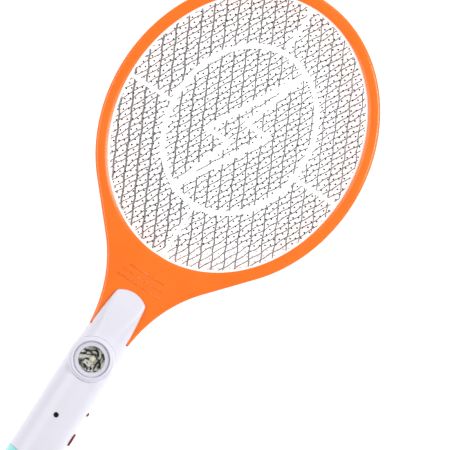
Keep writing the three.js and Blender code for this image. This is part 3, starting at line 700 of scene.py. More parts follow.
def throat_edge(grow, steps=26):
    """Points of the right-hand edge of the throat, from the horn's tip up to the oval."""
    half_x, half_y = RIM_X + grow, RIM_Y + grow
    leave = Vector((half_x * math.cos(THROAT_START), half_y * math.sin(THROAT_START)))
    along = Vector((half_x * math.sin(THROAT_START), -half_y * math.cos(THROAT_START))).normalized()
    straight_end = leave + along * THROAT_STRAIGHT
    aim_x = sizes().waist_half + WAIST_FLARE + grow
    aim = leave + along * ((aim_x - leave.x) / along.x)
    tip = Vector((sizes().waist_half + grow, NECK_END + NECK_LENGTH - grow))
    curve = [tip.lerp(aim, s / steps).lerp(aim.lerp(straight_end, s / steps), s / steps)
             for s in range(steps + 1)]
    straight = [straight_end.lerp(leave, s / 8) for s in range(1, 8)]
    return curve + straight


def frame_outline(grow=0.0, steps=220):
    """Points of the frame's outline about the head's middle, anticlockwise."""
    half_x, half_y = RIM_X + grow, RIM_Y + grow
    sweep = math.pi - 2 * THROAT_START
    arc = []
    for step in range(steps + 1):
        angle = THROAT_START + sweep * step / steps
        arc.append(Vector((half_x * math.cos(angle), half_y * math.sin(angle))))
    right = throat_edge(grow)
    left = [Vector((-point.x, point.y)) for point in reversed(right)]
    neck_x, neck_y = NECK_HALF + grow, NECK_END + NECK_LENGTH - grow
    neck = [
        Vector((-neck_x, neck_y)),
        Vector((-neck_x, NECK_END - grow)),
        Vector((neck_x, NECK_END - grow)),
        Vector((neck_x, neck_y)),
    ]
    return arc + left + neck + right


def opening_partners(outline, inset):
    """For each point of the outline, its partner on the head's opening."""
    half_x, half_y = RIM_X - inset, RIM_Y - inset
    runs = [0.0]
    start = next(i for i, p in enumerate(outline) if p.x < 0 and p.y < RIM_Y * math.sin(THROAT_START) - 1e-6)
    lower = outline[start - 1:] + outline[:1]
    for before, after in zip(lower, lower[1:]):
        runs.append(runs[-1] + (after - before).length)
    first = math.pi - THROAT_START
    sweep = math.pi + 2 * THROAT_START
    partners = []
    for place, point in enumerate(outline):
        if place < start:
            angle = math.atan2(point.y / RIM_Y, point.x / RIM_X)
        else:
            angle = first + sweep * runs[place - start + 1] / runs[-1]
        partners.append(Vector((half_x * math.cos(angle), half_y * math.sin(angle))))
    return partners


def at_height(points, height):
    """Flat points about the head's middle, lifted to a height over the handle's axis."""
    return [HEAD + Vector((point.x, point.y, height)) for point in points]


def frame_skin():
    """The outer skin of the front half of the frame: side wall, rounded edge, face and slope."""
    bm = bmesh.new()
    outline = frame_outline()
    brow = opening_partners(outline, sizes().rim_width - sizes().rim_slope)
    lip = opening_partners(outline, sizes().rim_width)
    rings = lofted(bm, [
        at_height(outline, PARTING),
        at_height(outline, FRAME_TOP),
        at_height(brow, FRAME_TOP),
        at_height(lip, FRAME_TOP - 0.9 * MM),
    ])
    bmesh.ops.recalc_face_normals(bm, faces=bm.faces[:])
    if sum(face.normal.z * face.calc_area() for face in bm.faces) < 0:
        bmesh.ops.reverse_faces(bm, faces=bm.faces[:])
    bmesh.ops.bevel(bm, geom=rings[1], offset=sizes().rim_round, segments=6, profile=0.5,
                    affect="EDGES", material=-1, clamp_overlap=False)
    bmesh.ops.bevel(bm, geom=rings[2], offset=0.7 * MM, segments=3,
                    profile=0.5, affect="EDGES", material=-1, clamp_overlap=False)
    return bm


def throat_ribs(bm):
    """Adds three low raised bars across the throat, as a plain grip pattern."""
    rows, gap, height = 3, 5.2 * MM, 0.3 * MM
    for row in range(rows):
        reach = TONGUE_TOP + 6.5 * MM + row * gap
        place = Matrix.Translation(HEAD + Vector((0, reach, FRAME_TOP - height)))
        verts = pill(bm, 1.8 * MM, (40 - 5 * row) * MM, height * 4,
                     place @ Matrix.Rotation(math.pi / 2, 4, "Z"))
        top = [e for e in {e for v in verts for e in v.link_edges}
               if all(v.co.z > place.translation.z + height for v in e.verts)]
        bmesh.ops.bevel(bm, geom=top, offset=0.35 * MM, segments=3, profile=0.5,
                        affect="EDGES", material=-1)
    return bm


def neck_hole(bm):
    """Adds the tool for the hole through which the handle's upper screw passes."""
    return rod(bm, 3.5 * MM, Vector((0, middle("handle_screw_1").y, HEAD.z - 20 * MM)), Z, 40 * MM)


class SWATTER_OT_frame(bpy.types.Operator):
    """Build the two orange halves of the head's frame"""

    bl_idname = "swatter.frame"
    bl_label = "Frame halves"

    def execute(self, context):
        material = orange_abs()
        for name, node, back in (("rim_front", "frame_front", False), ("rim_back", "frame_back", True)):
            shell = frame_skin()
            bmesh.ops.solidify(shell, geom=shell.faces[:], thickness=sizes().frame_wall)
            shell = combined(shell, neck_hole(bmesh.new()), "DIFFERENCE")
            if back:
                tools = bmesh.new()
                for screw in ("throat_screw_1", "throat_screw_2"):
                    centre = middle(screw)
                    start = Vector((centre.x, centre.y, HEAD.z + FRAME_TOP - THROAT_SCREW_SINK))
                    rod(tools, span(screw).x / 2 + 0.4 * MM, start, Z, 10 * MM)
                shell = combined(shell, tools, "DIFFERENCE")
                mirrored(shell)
            else:
                throat_ribs(shell)
            piece = settle(name, shell, material, "handle", [node])
            ease_edges(piece, 0.3 * MM, 2, 50)
        return {"FINISHED"}


# ---- Grids -----------------------------------------------------------------------------------


def mesh_sheet(pitch, angle, half_x, half_y, waver=0.0, cuts=0, shift=0.0):
    """A flat sheet of rhombic faces, whose sides run at plus and minus an angle to Y, cut to an
    oval. Its sides waver by a small amount. The shift, in sides, runs along one family of sides."""
    step_x = pitch / math.cos(angle) / 2
    step_y = pitch / math.sin(angle) / 2
    reach = int((half_x / step_x + half_y / step_y) / 2) + 2
    bm = bmesh.new()
    bmesh.ops.create_grid(bm, x_segments=2 * reach, y_segments=2 * reach, size=reach)
    slant = Matrix(((step_x, -step_x, 0, 0), (step_y, step_y, 0, 0), (0, 0, 1, 0), (0, 0, 0, 1)))
    bmesh.ops.transform(bm, matrix=slant, verts=bm.verts[:])
    bmesh.ops.translate(bm, vec=Vector((-step_x, step_y, 0)) * shift, verts=bm.verts[:])
    far = [f for f in bm.faces if Vector((f.calc_center_median().x / (half_x + step_x * 2),
                                          f.calc_center_median().y / (half_y + step_y * 2))).length > 1]
    bmesh.ops.delete(bm, geom=far, context="FACES")
    if cuts:
        bmesh.ops.subdivide_edges(bm, edges=bm.edges[:], cuts=cuts)
    for vert in bm.verts:
        x, y = vert.co.x, vert.co.y
        vert.co.x += waver * math.sin(y / (0.24 * pitch) + math.sin(x / pitch) * 2)
        vert.co.y += waver * math.sin(x / (0.29 * pitch) + math.cos(y / pitch) * 2)
    sides = 64
    for side in range(sides):
        turned = math.tau * (side + 0.5) / sides
        on_edge = Vector((half_x * math.cos(turned), half_y * math.sin(turned), 0))
        outwards = Vector((math.cos(turned) / half_x, math.sin(turned) / half_y, 0)).normalized()
        bmesh.ops.bisect_plane(bm, geom=bm.verts[:] + bm.edges[:] + bm.faces[:], plane_co=on_edge,
                               plane_no=outwards, clear_outer=True)
    return bm


def strands(bm, width):
    """Turns a sheet's edges into strands, with a band along its rim."""
    bmesh.ops.wireframe(bm, faces=bm.faces[:], thickness=width, use_replace=True,
                        use_boundary=True, use_even_offset=True)
    return bm


def weld_dots(bm, pitch, angle, half_x, half_y):
    """Adds a weld to each crossing of a sheet: one small dot doubled along both of its sides."""
    step = Vector((pitch / math.cos(angle) / 2, pitch / math.sin(angle) / 2, 0))
    dots = bmesh.new()
    bmesh.ops.create_icosphere(dots, subdivisions=1, radius=sizes().weld / 2)
    reach = int(half_x / step.x + half_y / step.y) + 2
    for side in (step, Vector((-step.x, step.y, 0))):
        count = 1
        while count < reach:
            made = bmesh.ops.duplicate(dots, geom=dots.verts[:] + dots.edges[:] + dots.faces[:])
            fresh = [part for part in made["geom"] if isinstance(part, bmesh.types.BMVert)]
            bmesh.ops.translate(dots, vec=side * count, verts=fresh)
            count *= 2
        bmesh.ops.translate(dots, vec=-side * (count // 2), verts=dots.verts[:])
    for vert in dots.verts:
        vert.co.z *= 0.6
    outside = [v for v in dots.verts if Vector((v.co.x / half_x, v.co.y / half_y)).length > 0.985]
    bmesh.ops.delete(dots, geom=outside, context="VERTS")
    mesh = bpy.data.meshes.new("welds")
    dots.to_mesh(mesh)
    dots.free()
    bm.from_mesh(mesh)
    bpy.data.meshes.remove(mesh)


class SWATTER_OT_grids(bpy.types.Operator):
    """Build the two coarse outer grids and the fine live grid between them"""

    bl_idname = "swatter.grids"
    bl_label = "Wire grids"

    def execute(self, context):
        held = 4.5 * MM
        half_x, half_y = RIM_X - held, RIM_Y - held
        steel = grid_steel()
        for name, node, level, shift in (
            ("mesh_front", "grid_front", GRID_LEVEL, 0.0),
            ("mesh_back", "grid_back", -GRID_LEVEL, 0.5),
        ):
            pitch = sizes().strand_pitch
            bm = mesh_sheet(pitch, math.radians(26.5), half_x, half_y, 0.38 * MM, 4, shift)
            strands(bm, sizes().strand)
            bmesh.ops.translate(bm, vec=HEAD + Vector((0, 0, level)), verts=bm.verts[:])
            settle(name, bm, steel, "handle", [node], sharp=100)
        fine = fine_wire()
        bm = mesh_sheet(sizes().fine_pitch, math.radians(54), half_x, half_y)
        strands(bm, sizes().fine_strand)
        wires = len(bm.faces)
        weld_dots(bm, sizes().fine_pitch, math.radians(54), half_x, half_y)
        bm.faces.ensure_lookup_table()
        for face in bm.faces[wires:]:
            face.material_index = 1
        bmesh.ops.translate(bm, vec=HEAD, verts=bm.verts[:])
        piece = settle("mesh_live", bm, fine, "handle", ["grid_middle"], sharp=100)
        piece.data.materials.append(weld_steel())
        return {"FINISHED"}


# ---- Spacers ---------------------------------------------------------------------------------

OVAL_HALF_X = 54.5 * MM
OVAL_HALF_Y = 66.5 * MM
OVAL_SHIFT = 3 * MM
SPOKE_SHIFT = -6 * MM
ZIGZAG = [(19.6, 63.2), (-21.8, -9.4), (-2.0, -9.4), (-19.6, -60.2), (21.8, 9.4), (2.0, 9.4)]


def flat_ring(outer, inner):
    """A flat ring between two outlines of equally many points, between the spacer's faces."""
    bm = bmesh.new()
    lofted(bm, [
        at_height(outer, SPACER_LOW),
        at_height(outer, SPACER_HIGH),
        at_height(inner, SPACER_HIGH),
        at_height(inner, SPACER_LOW),
        at_height(outer, SPACER_LOW),
    ])
    merged(bm)
    return bm


def flat_bar(start, end, width):
    """A flat bar with square ends, half its width past two points of the spacer."""
    bm = bmesh.new()
    run = end - start
    place = (Matrix.Translation(HEAD + Vector((*((start + end) / 2), (SPACER_LOW + SPACER_HIGH) / 2)))
             @ Matrix.Rotation(math.atan2(run.y, run.x), 4, "Z")
             @ Matrix.Diagonal((run.length + width, width, SPACER_HIGH - SPACER_LOW, 1)))
    bmesh.ops.create_cube(bm, size=1.0, matrix=place)
    return bm


def spacer_lattice():
    """The insulating spacer between two grids: rim, oval, four spokes and a zigzag."""
    steps = 160
    rib, spoke = sizes().rib, sizes().spoke
    under, show = 2.6 * MM, sizes().rim_width + 1.5 * MM
    made = flat_ring(oval(RIM_X - under, RIM_Y - under, steps), oval(RIM_X - show, RIM_Y - show, steps))
    band = flat_ring(
        oval(OVAL_HALF_X + rib / 2, OVAL_HALF_Y + rib / 2, steps, OVAL_SHIFT),
        oval(OVAL_HALF_X - rib / 2, OVAL_HALF_Y - rib / 2, steps, OVAL_SHIFT),
    )
    made = combined(made, band, "UNION")
    edge_x, edge_y = RIM_X - sizes().rim_width, RIM_Y - sizes().rim_width
    bars = [
        (Vector((OVAL_HALF_X, SPOKE_SHIFT)), Vector((edge_x, SPOKE_SHIFT)), spoke),
        (Vector((-OVAL_HALF_X, SPOKE_SHIFT)), Vector((-edge_x, SPOKE_SHIFT)), spoke),
        (Vector((-2 * MM, OVAL_SHIFT + OVAL_HALF_Y)), Vector((-2 * MM, edge_y)), spoke),
        (Vector((2 * MM, OVAL_SHIFT - OVAL_HALF_Y)), Vector((2 * MM, -edge_y)), spoke),
    ]
    corners = [Vector(corner) * MM for corner in ZIGZAG]
    bars += [(first, second, rib) for first, second in zip(corners, corners[1:] + corners[:1])]
    for start, end, width in bars:
        made = combined(made, flat_bar(start, end, width), "UNION")
    return made


class SWATTER_OT_spacers(bpy.types.Operator):
    """Build the two white insulating spacers that hold the grids apart"""

    bl_idname = "swatter.spacers"
    bl_label = "Spacers"

    def execute(self, context):
        nylon = spacer_nylon()
        for name, node, back in (("spacer_lattice_front", "spacer_front", False),
                                 ("spacer_lattice_back", "spacer_back", True)):
            bm = spacer_lattice()
            if back:
                mirrored(bm)
            piece = settle(name, bm, nylon, "handle", [node])
            ease_edges(piece, 0.4 * MM, 2, 40)
        return {"FINISHED"}


# ---- Handle ----------------------------------------------------------------------------------

TONGUE_HALF = 12.6 * MM
TONGUE_ARCH = 4.5 * MM
TONGUE_PROUD = 1.8 * MM
HANDLE_TAPER = 22 * MM
SLOPE_END = -208 * MM


def eased_least(first, second, reach):
    """The lesser of two numbers, rounded off where they lie closer than a reach."""
    close = max(reach - abs(first - second), 0.0)
    return min(first, second) - close * close / (4 * reach)


def eased_most(first, second, reach):
    """The greater of two numbers, rounded off where they lie closer than a reach."""
    return -eased_least(-first, -second, reach)


def handle_reach(y):
    """Radius, half width and half height of the handle at a place along it."""
    horn = NECK_END + NECK_LENGTH
    share = min(max((y - horn + HANDLE_TAPER) / HANDLE_TAPER, 0.0), 1.0)
    waist = sizes().waist_half
    radius = HANDLE_RADIUS + (waist - HANDLE_RADIUS) * share
    corner_y = TONGUE_TOP - TONGUE_ARCH
    side = waist + (TONGUE_HALF - waist) * (y - horn) / (corner_y - horn)
    bend = (TONGUE_HALF ** 2 + TONGUE_ARCH ** 2) / (2 * TONGUE_ARCH)
    below = y - (TONGUE_TOP - bend)
    arch = math.sqrt(max(bend ** 2 - below ** 2, 0.0)) if below > 0 else bend
    width = eased_least(side, arch, 1.2 * MM) if y > corner_y - 3 * MM else side
    if arch < 1.0 * MM:
        width = arch
    return radius, width, tongue_height(y)


def tongue_height(y):
    """Half height of the handle's side view: a curve from the tongue's top to full height."""
    first = FRAME_TOP + TONGUE_PROUD
    if y <= SLOPE_END:
        return HANDLE_RADIUS * 1.2
    horn = NECK_END + NECK_LENGTH
    lower, upper = 0.0, 1.0
    for _ in range(30):
        share = (lower + upper) / 2
        place = ((1 - share) ** 2 * SLOPE_END + 2 * share * (1 - share) * horn
                 + share ** 2 * TONGUE_TOP)
        lower, upper = (share, upper) if place < y else (lower, share)
    return (1 - share) ** 2 * HANDLE_RADIUS + 2 * share * (1 - share) * HANDLE_RADIUS + share ** 2 * first


def section_point(angle, radius, width, height, waist_share):
    """The point of a handle section in a direction, in X and Z about the handle's axis."""
    ease = sizes().edge_round
    ray_x = min(width, radius) * math.cos(angle)
    ray_z = min(height, radius) * math.sin(angle)
    lower, upper = 0.0, 3.0
    for _ in range(34):
        share = (lower + upper) / 2
        x, z = ray_x * share, ray_z * share
        outside = math.hypot(x, z) - radius
        if waist_share > 0:
            outside = eased_most(outside, abs(x) - width, ease * waist_share)
        outside = eased_most(outside, abs(z) - height, ease)
        lower, upper = (share, upper) if outside < 0 else (lower, share)
    return ray_x * share, ray_z * share


def handle_skin():
    """The outer skin of the front half of the handle, laid over a grid of angles and stations."""
    angles, stations, end_stations = 96, 130, 18
    corner_y = TONGUE_TOP - TONGUE_ARCH
    bend = (TONGUE_HALF ** 2 + TONGUE_ARCH ** 2) / (2 * TONGUE_ARCH)
    horn = NECK_END + NECK_LENGTH
    places = [HANDLE_END + (corner_y - HANDLE_END) * s / stations for s in range(stations)]
    for step in range(end_stations + 1):
        x = TONGUE_HALF * math.cos(step / end_stations * math.pi / 2)
        places.append(TONGUE_TOP - bend + math.sqrt(bend ** 2 - x ** 2))
    rows = len(places)
    bm = bmesh.new()
    bmesh.ops.create_grid(bm, x_segments=angles, y_segments=rows - 1, size=0.5)
    reaches = [handle_reach(y) for y in places]
    for vert in bm.verts:
        row = round((vert.co.y + 0.5) * (rows - 1))
        angle = math.pi * (0.5 - vert.co.x)
        y = places[row]
        radius, width, height = reaches[row]
        waist_share = min(max((y - horn) / (10 * MM), 0.0), 1.0)
        if row == rows - 1:
            x, z = 0.0, height * abs(math.sin(angle))
            z = section_point(angle, radius, 0.05 * MM, height, waist_share)[1]
        else:
            x, z = section_point(angle, radius, width, height, waist_share)
        vert.co = HEAD + Vector((x, y, max(z, PARTING)))
    bmesh.ops.remove_doubles(bm, verts=bm.verts[:], dist=0.01 * MM)
    bmesh.ops.recalc_face_normals(bm, faces=bm.faces[:])
    if sum(face.normal.z * face.calc_area() for face in bm.faces) < 0:
        bmesh.ops.reverse_faces(bm, faces=bm.faces[:])
    return bm


def frame_room():
    """The tool that clears the handle's shells from the frame's throat and neck."""
    bm = bmesh.new()
    outline = frame_outline(0.3 * MM, 40)
    depth = FRAME_TOP + 0.3 * MM
    rings = lofted(bm, [at_height(outline, -depth), at_height(outline, depth)])
    for ring in rings:
        bmesh.ops.triangle_fill(bm, edges=ring, use_beauty=True)
    return bm


def side_holes(bm):
    """Adds the tools for the indicator's and the button's holes in the handle's right side."""
    light, key = middle("indicator_led"), middle("fire_button")
    rod(bm, span("indicator_led").y / 2 + 0.3 * MM, Vector((5 * MM, light.y, light.z)), X, 30 * MM)
    place = Matrix.Translation((20 * MM, key.y, key.z)) @ Matrix.Rotation(math.pi / 2, 4, "Y")
    pill(bm, 7.6 * MM, 11.6 * MM, 30 * MM, place)
    return bm


class SWATTER_OT_handle(bpy.types.Operator):
    """Build the two white shells of the handle"""

    bl_idname = "swatter.handle"
    bl_label = "Handle shells"

    def execute(self, context):
        material = white_abs()
        for name, node, back in (("grip_front", "handle_front", False), ("grip_back", "handle_back", True)):
            shell = handle_skin()
            bmesh.ops.solidify(shell, geom=shell.faces[:], thickness=sizes().handle_wall)
            if back:
                mirrored(shell)
            shell = combined(shell, frame_room(), "DIFFERENCE")
            tools = side_holes(bmesh.new())
            if back:
                for number in (1, 2, 3):
                    screw = f"handle_screw_{number}"
                    start = Vector((0, middle(screw).y, low(screw).z - 20 * MM))
                    rod(tools, 3.0 * MM, start, Z, 20 * MM + span(screw).z)
            else:
                rod(tools, span("lens_bezel").x / 2 + 0.1 * MM, low("lens_bezel") * 0 + Vector(
                    (0, LAMP.y, low("lens_bezel").z)), Z, 30 * MM, 96)
                jack = middle("charge_jack")
                rod(tools, 2.1 * MM, Vector((0, jack.y, HEAD.z + 10 * MM)), Z, 20 * MM)
            shell = combined(shell, tools, "DIFFERENCE")
            settle(name, shell, material, "handle", [node], sharp=40)
        return {"FINISHED"}


# ---- Screws ----------------------------------------------------------------------------------


def cross_screw(centre, bottom, extent, head_radius):
    """A pan-head screw with a cross recess whose head faces down."""
    bm = bmesh.new()
    head, shank = head_radius / MM, 1.3
    body = softened([(0, 0), (head, 0, 0.7), (head, 1.2, 0.2), (shank, 1.8), (shank, extent / MM - 2),
                     (0.2, extent / MM), (0, extent / MM)])
    turn(bm, body, Vector((centre.x, centre.y, bottom)), Z, 48)
    recess = bmesh.new()
    for half_x, half_y in ((1.5, 0.32), (0.32, 1.5)):
        corner = Vector((half_x, half_y, 1.1)) * MM
        place = Vector((centre.x, centre.y, bottom))
        box(recess, place - corner, place + corner)
    return combined(bm, recess, "DIFFERENCE")


class SWATTER_OT_screws(bpy.types.Operator):
    """Build the five cross-recess screws in the back of the swatter"""

    bl_idname = "swatter.screws"
    bl_label = "Screws"

    def execute(self, context):
        material = zinc_steel()
        nodes = [f"throat_screw_{number}" for number in (1, 2)]
        nodes += [f"handle_screw_{number}" for number in (1, 2, 3)]
        for node in nodes:
            centre = middle(node)
            bm = cross_screw(centre, low(node).z, span(node).z, span(node).x / 2)
            settle(node.replace("screw", "fastener"), bm, material, "handle", [node], 25)
        return {"FINISHED"}


# ---- Lamp ------------------------------------------------------------------------------------


def faceted_cup(bm, profile, at, axis, facets):
    """Adds a reflector cup whose wall is broken into flat facets."""
    return turn(bm, profile, at, axis, facets, closed=True)


class SWATTER_OT_lamp(bpy.types.Operator):
    """Build the lamp in the handle: bezel, lens, reflector and diode"""

    bl_idname = "swatter.lamp"
    bl_label = "Handle lamp"

    def execute(self, context):
        base = Vector((0, LAMP.y, low("lens_bezel").z))
        top = span("lens_bezel").z / MM
        outer = span("lens_bezel").x / 2 / MM
        lens = span("lamp_lens").x / 2 / MM
        wall = lens - 1.2
        ledge = lens - 3.4
        lens_floor = (low("lamp_lens").z - base.z) / MM
        bezel = softened([
            (wall, 0), (outer, 0), (outer, top - 1.7, 0.8), (outer - 0.9, top - 1.0, 0.4),
            (lens + 2.2, top - 1.0, 0.3), (lens + 1.7, top, 0.5), (lens + 0.8, top, 0.4),
            (lens + 0.3, top - 1.0), (lens + 0.3, lens_floor - 1.4), (lens - 0.5, lens_floor - 1.4),
            (lens - 0.5, lens_floor - 0.3), (ledge, lens_floor - 0.3, 0.3),
            (ledge, lens_floor - 1.2, 0.2), (wall - 1.0, lens_floor - 1.2), (wall - 0.6, lens_floor - 2.6),
            (wall, lens_floor - 3.0),
        ])
        bm = turn(bmesh.new(), bezel, base, Z, 128, closed=True)
        settle("lamp_bezel", bm, white_abs(), "handle", ["lens_bezel"])

        floor = Vector((0, LAMP.y, low("lamp_lens").z))
        thick = span("lamp_lens").z / MM
        pane = lens - 0.25
        cover = softened([(0, 0), (pane, 0, 0.2), (pane, 1.2, 0.3), (lens - 1.6, 1.3, 0.8),
                          (lens * 0.5, thick - 0.2), (0, thick)])
        bm = turn(bmesh.new(), cover, floor, Z, 96)
        settle("lamp_cover", bm, clear_lens(), "handle", ["lamp_lens"])

        foot = Vector((0, LAMP.y, low("lamp_reflector").z))
        mouth = span("lamp_reflector").x / 2 / MM - 0.6
        tall = span("lamp_reflector").z / MM - 1.1
        cup = [(2.8, 0.0), (4.4, 0.0), (mouth * 0.62, tall * 0.34), (mouth * 0.86, tall * 0.66),
               (mouth, tall), (mouth - 0.6, tall), (mouth * 0.8, tall * 0.68),
               (mouth * 0.56, tall * 0.36), (3.9, 0.8), (2.8, 0.8)]
        bm = faceted_cup(bmesh.new(), [(r * MM, h * MM) for r, h in cup], foot, Z, 24)
        settle("lamp_cup", bm, lamp_mirror(), "handle", ["lamp_reflector"], 8)

        seat = Vector((0, LAMP.y, low("lamp_led").z))
        dome = softened([(0, 0), (2.6, 0), (2.6, 2.0, 0.4), (1.6, 3.4, 1.0), (0, 4.0)])
        bm = turn(bmesh.new(), dome, seat, Z, 40)
        settle("lamp_diode", bm, led_epoxy(), "handle", ["lamp_led"])
        dress("lamp_board", circuit_board())
        return {"FINISHED"}


# ---- Button, light and charging port ---------------------------------------------------------


def crowned_pill(width, extent, depth, place, round_over, crown):
    """A pill-shaped cap with a rounded and slightly crowned top."""
    bm = bmesh.new()
    pill(bm, width, extent, depth, Matrix.Identity(4))
    top = [f for f in bm.faces if f.normal.z > 0.9]
    bmesh.ops.bevel(bm, geom=[e for f in top for e in f.edges], offset=round_over, segments=5,
                    profile=0.5, affect="EDGES", material=-1)
    top = [f for f in bm.faces if f.normal.z > 0.99 and len(f.verts) > 8]
    for _ in range(3):
        made = bmesh.ops.inset_region(bm, faces=top, thickness=width / 9, depth=crown / 3,
                                      use_even_offset=True)
        top = [f for f in top if f.is_valid]
    bmesh.ops.transform(bm, matrix=place, verts=bm.verts[:])
    return merged(bm)


class SWATTER_OT_controls(bpy.types.Operator):
    """Build the red button, its plunger, the indicator light and the charging port"""

    bl_idname = "swatter.controls"
    bl_label = "Button, light and port"

    def execute(self, context):
        red, black = red_plastic(), black_plastic()
        key = middle("fire_button")
        inner, outer = low("fire_button").x, high("fire_button").x
        facing = Matrix.Rotation(math.pi / 2, 4, "Y")
        cap_depth = outer - inner - 1.3 * MM
        cap = crowned_pill(7.0 * MM, 11.0 * MM, cap_depth,
                           Matrix.Translation((outer - cap_depth / 2 - 0.25 * MM, key.y, key.z)) @ facing,
                           0.9 * MM, 0.25 * MM)
        pill(cap, 9.0 * MM, 13.0 * MM, 1.5 * MM,
             Matrix.Translation((inner + 0.75 * MM, key.y, key.z)) @ facing)
        settle("fire_key", cap, red, "fire_button", ["fire_button"])

        start = Vector((low("indicator_led").x, middle("indicator_led").y, HEAD.z))
        tall = span("indicator_led").x / MM + 0.4
        light = softened([(0, 0), (2, 0), (2, tall - 1.4, 0.5), (1.2, tall - 0.3, 0.5), (0, tall)])
        bm = turn(bmesh.new(), light, start, X, 32)
        settle("indicator_light", bm, red, "handle", ["indicator_led"])

        port = middle("charge_jack")
        floor = low("charge_jack").z
        block_top = floor + 7.8 * MM
        bm = bmesh.new()
        box(bm, Vector((low("charge_jack").x, low("charge_jack").y, floor)),
            Vector((high("charge_jack").x, high("charge_jack").y, block_top)))
        base = Vector((0, port.y, block_top - 1 * MM))
        reach = (high("charge_jack").z - base.z) / MM
        nose = softened([(0.85, 0), (1.7, 0), (1.7, reach, 0.3), (1.1, reach, 0.2), (0.85, reach - 0.5)])
        turn(bm, nose, base, Z, 40, closed=True)
        settle("charging_port", bm, black, "handle", ["charge_jack"])
        for node in ("fire_switch", "switch_plunger"):
            dress(node, black)
        return {"FINISHED"}


# ---- Circuit ---------------------------------------------------------------------------------


class SWATTER_OT_circuit(bpy.types.Operator):
    """Finish the parts of the high-voltage circuit inside the handle"""

    bl_idname = "swatter.circuit"
    bl_label = "Circuit"

    def execute(self, context):
        board, sleeve, epoxy = circuit_board(), lead_sleeve(), dipped_epoxy()
        dress("high_voltage_board", board)
        dress("contact_plate", board)
        dress("transformer", winding_tape())
        dress("storage_capacitor", epoxy)
        dress("filter_capacitor", epoxy)
        for lead in ("lead_front", "lead_middle", "lead_back", "power_lead_plus", "power_lead_minus"):
            dress(lead, sleeve)
        dress("contact_spring", brass())
        return {"FINISHED"}


# ---- Collar ----------------------------------------------------------------------------------


class SWATTER_OT_collar(bpy.types.Operator):
    """Build the turquoise collar that the torch screws into"""

    bl_idname = "swatter.collar"
    bl_label = "Collar"

    def execute(self, context):
        start = Vector((0, low("collar").y, HEAD.z))
        outer = span("collar").x / 2 / MM
        whole = span("collar").y / MM
        shown = (low("handle_front").y - low("collar").y) / MM
        bore, spigot = outer - 4.05, outer - 2.3
        profile = softened([
            (bore, 0.0, 0.4), (outer - 0.2, 0.0, 0.7), (outer, 2.2), (outer, 2.4), (outer - 0.35, 2.6),
            (outer - 0.35, 2.9), (outer, 3.1), (outer, shown - 0.3, 0.35),
            (spigot, shown - 0.3), (spigot, whole, 0.3), (bore, whole, 0.3),
        ])
        bm = turn(bmesh.new(), profile, start, Y, 128, closed=True)
        settle("screw_collar", bm, turquoise_abs(), "handle", ["collar"])
        return {"FINISHED"}


# ---- Torch -----------------------------------------------------------------------------------


def torch_outer(y):
    """Radius of the torch's body at a place in millimetres below its shoulder."""
    shoulder, waist, flare = 18.65, 18.3, 20.5
    if y < 50:
        return shoulder + (waist - shoulder) * y / 50
    share = min(max((y - 56) / 38, 0.0), 1.0)
    return waist + (flare - waist) * share * share * (3 - 2 * share)


def thread_ridge(bm, root, start, pitch, turns):
    """Adds a thread's ridge: a small section spun along the torch's axis as it rises."""
    steps = 48
    at = Vector((0, start, HEAD.z))
    section = [(root - 0.4 * MM, 0.0), (root - 0.4 * MM, 1.9 * MM), (root + 0.0, 1.75 * MM),
               (root + 0.85 * MM, 1.25 * MM), (root + 0.85 * MM, 0.65 * MM), (root, 0.15 * MM)]
    verts = [bm.verts.new(at + Z * radius + Y * along) for radius, along in section]
    face = bm.faces.new(verts)
    made = bmesh.ops.spin(bm, geom=[face], cent=at, axis=Y, dvec=Y * (pitch / steps),
                          angle=math.tau * turns, steps=int(steps * turns), use_merge=False)
    return made


def slot_prism(clearance):
    """The pill-shaped tool for the slide switch's slot."""
    knob = middle("slide_knob")
    travel = 6 * MM
    width = span("slide_knob").x + clearance * 2
    extent = span("slide_knob").y + travel + clearance * 2
    top = high("slide_knob").y + clearance
    bm = bmesh.new()
    place = Matrix.Translation((0, top - extent / 2, HEAD.z + 20 * MM))
    pill(bm, width, extent, 30 * MM, place)
    return bm


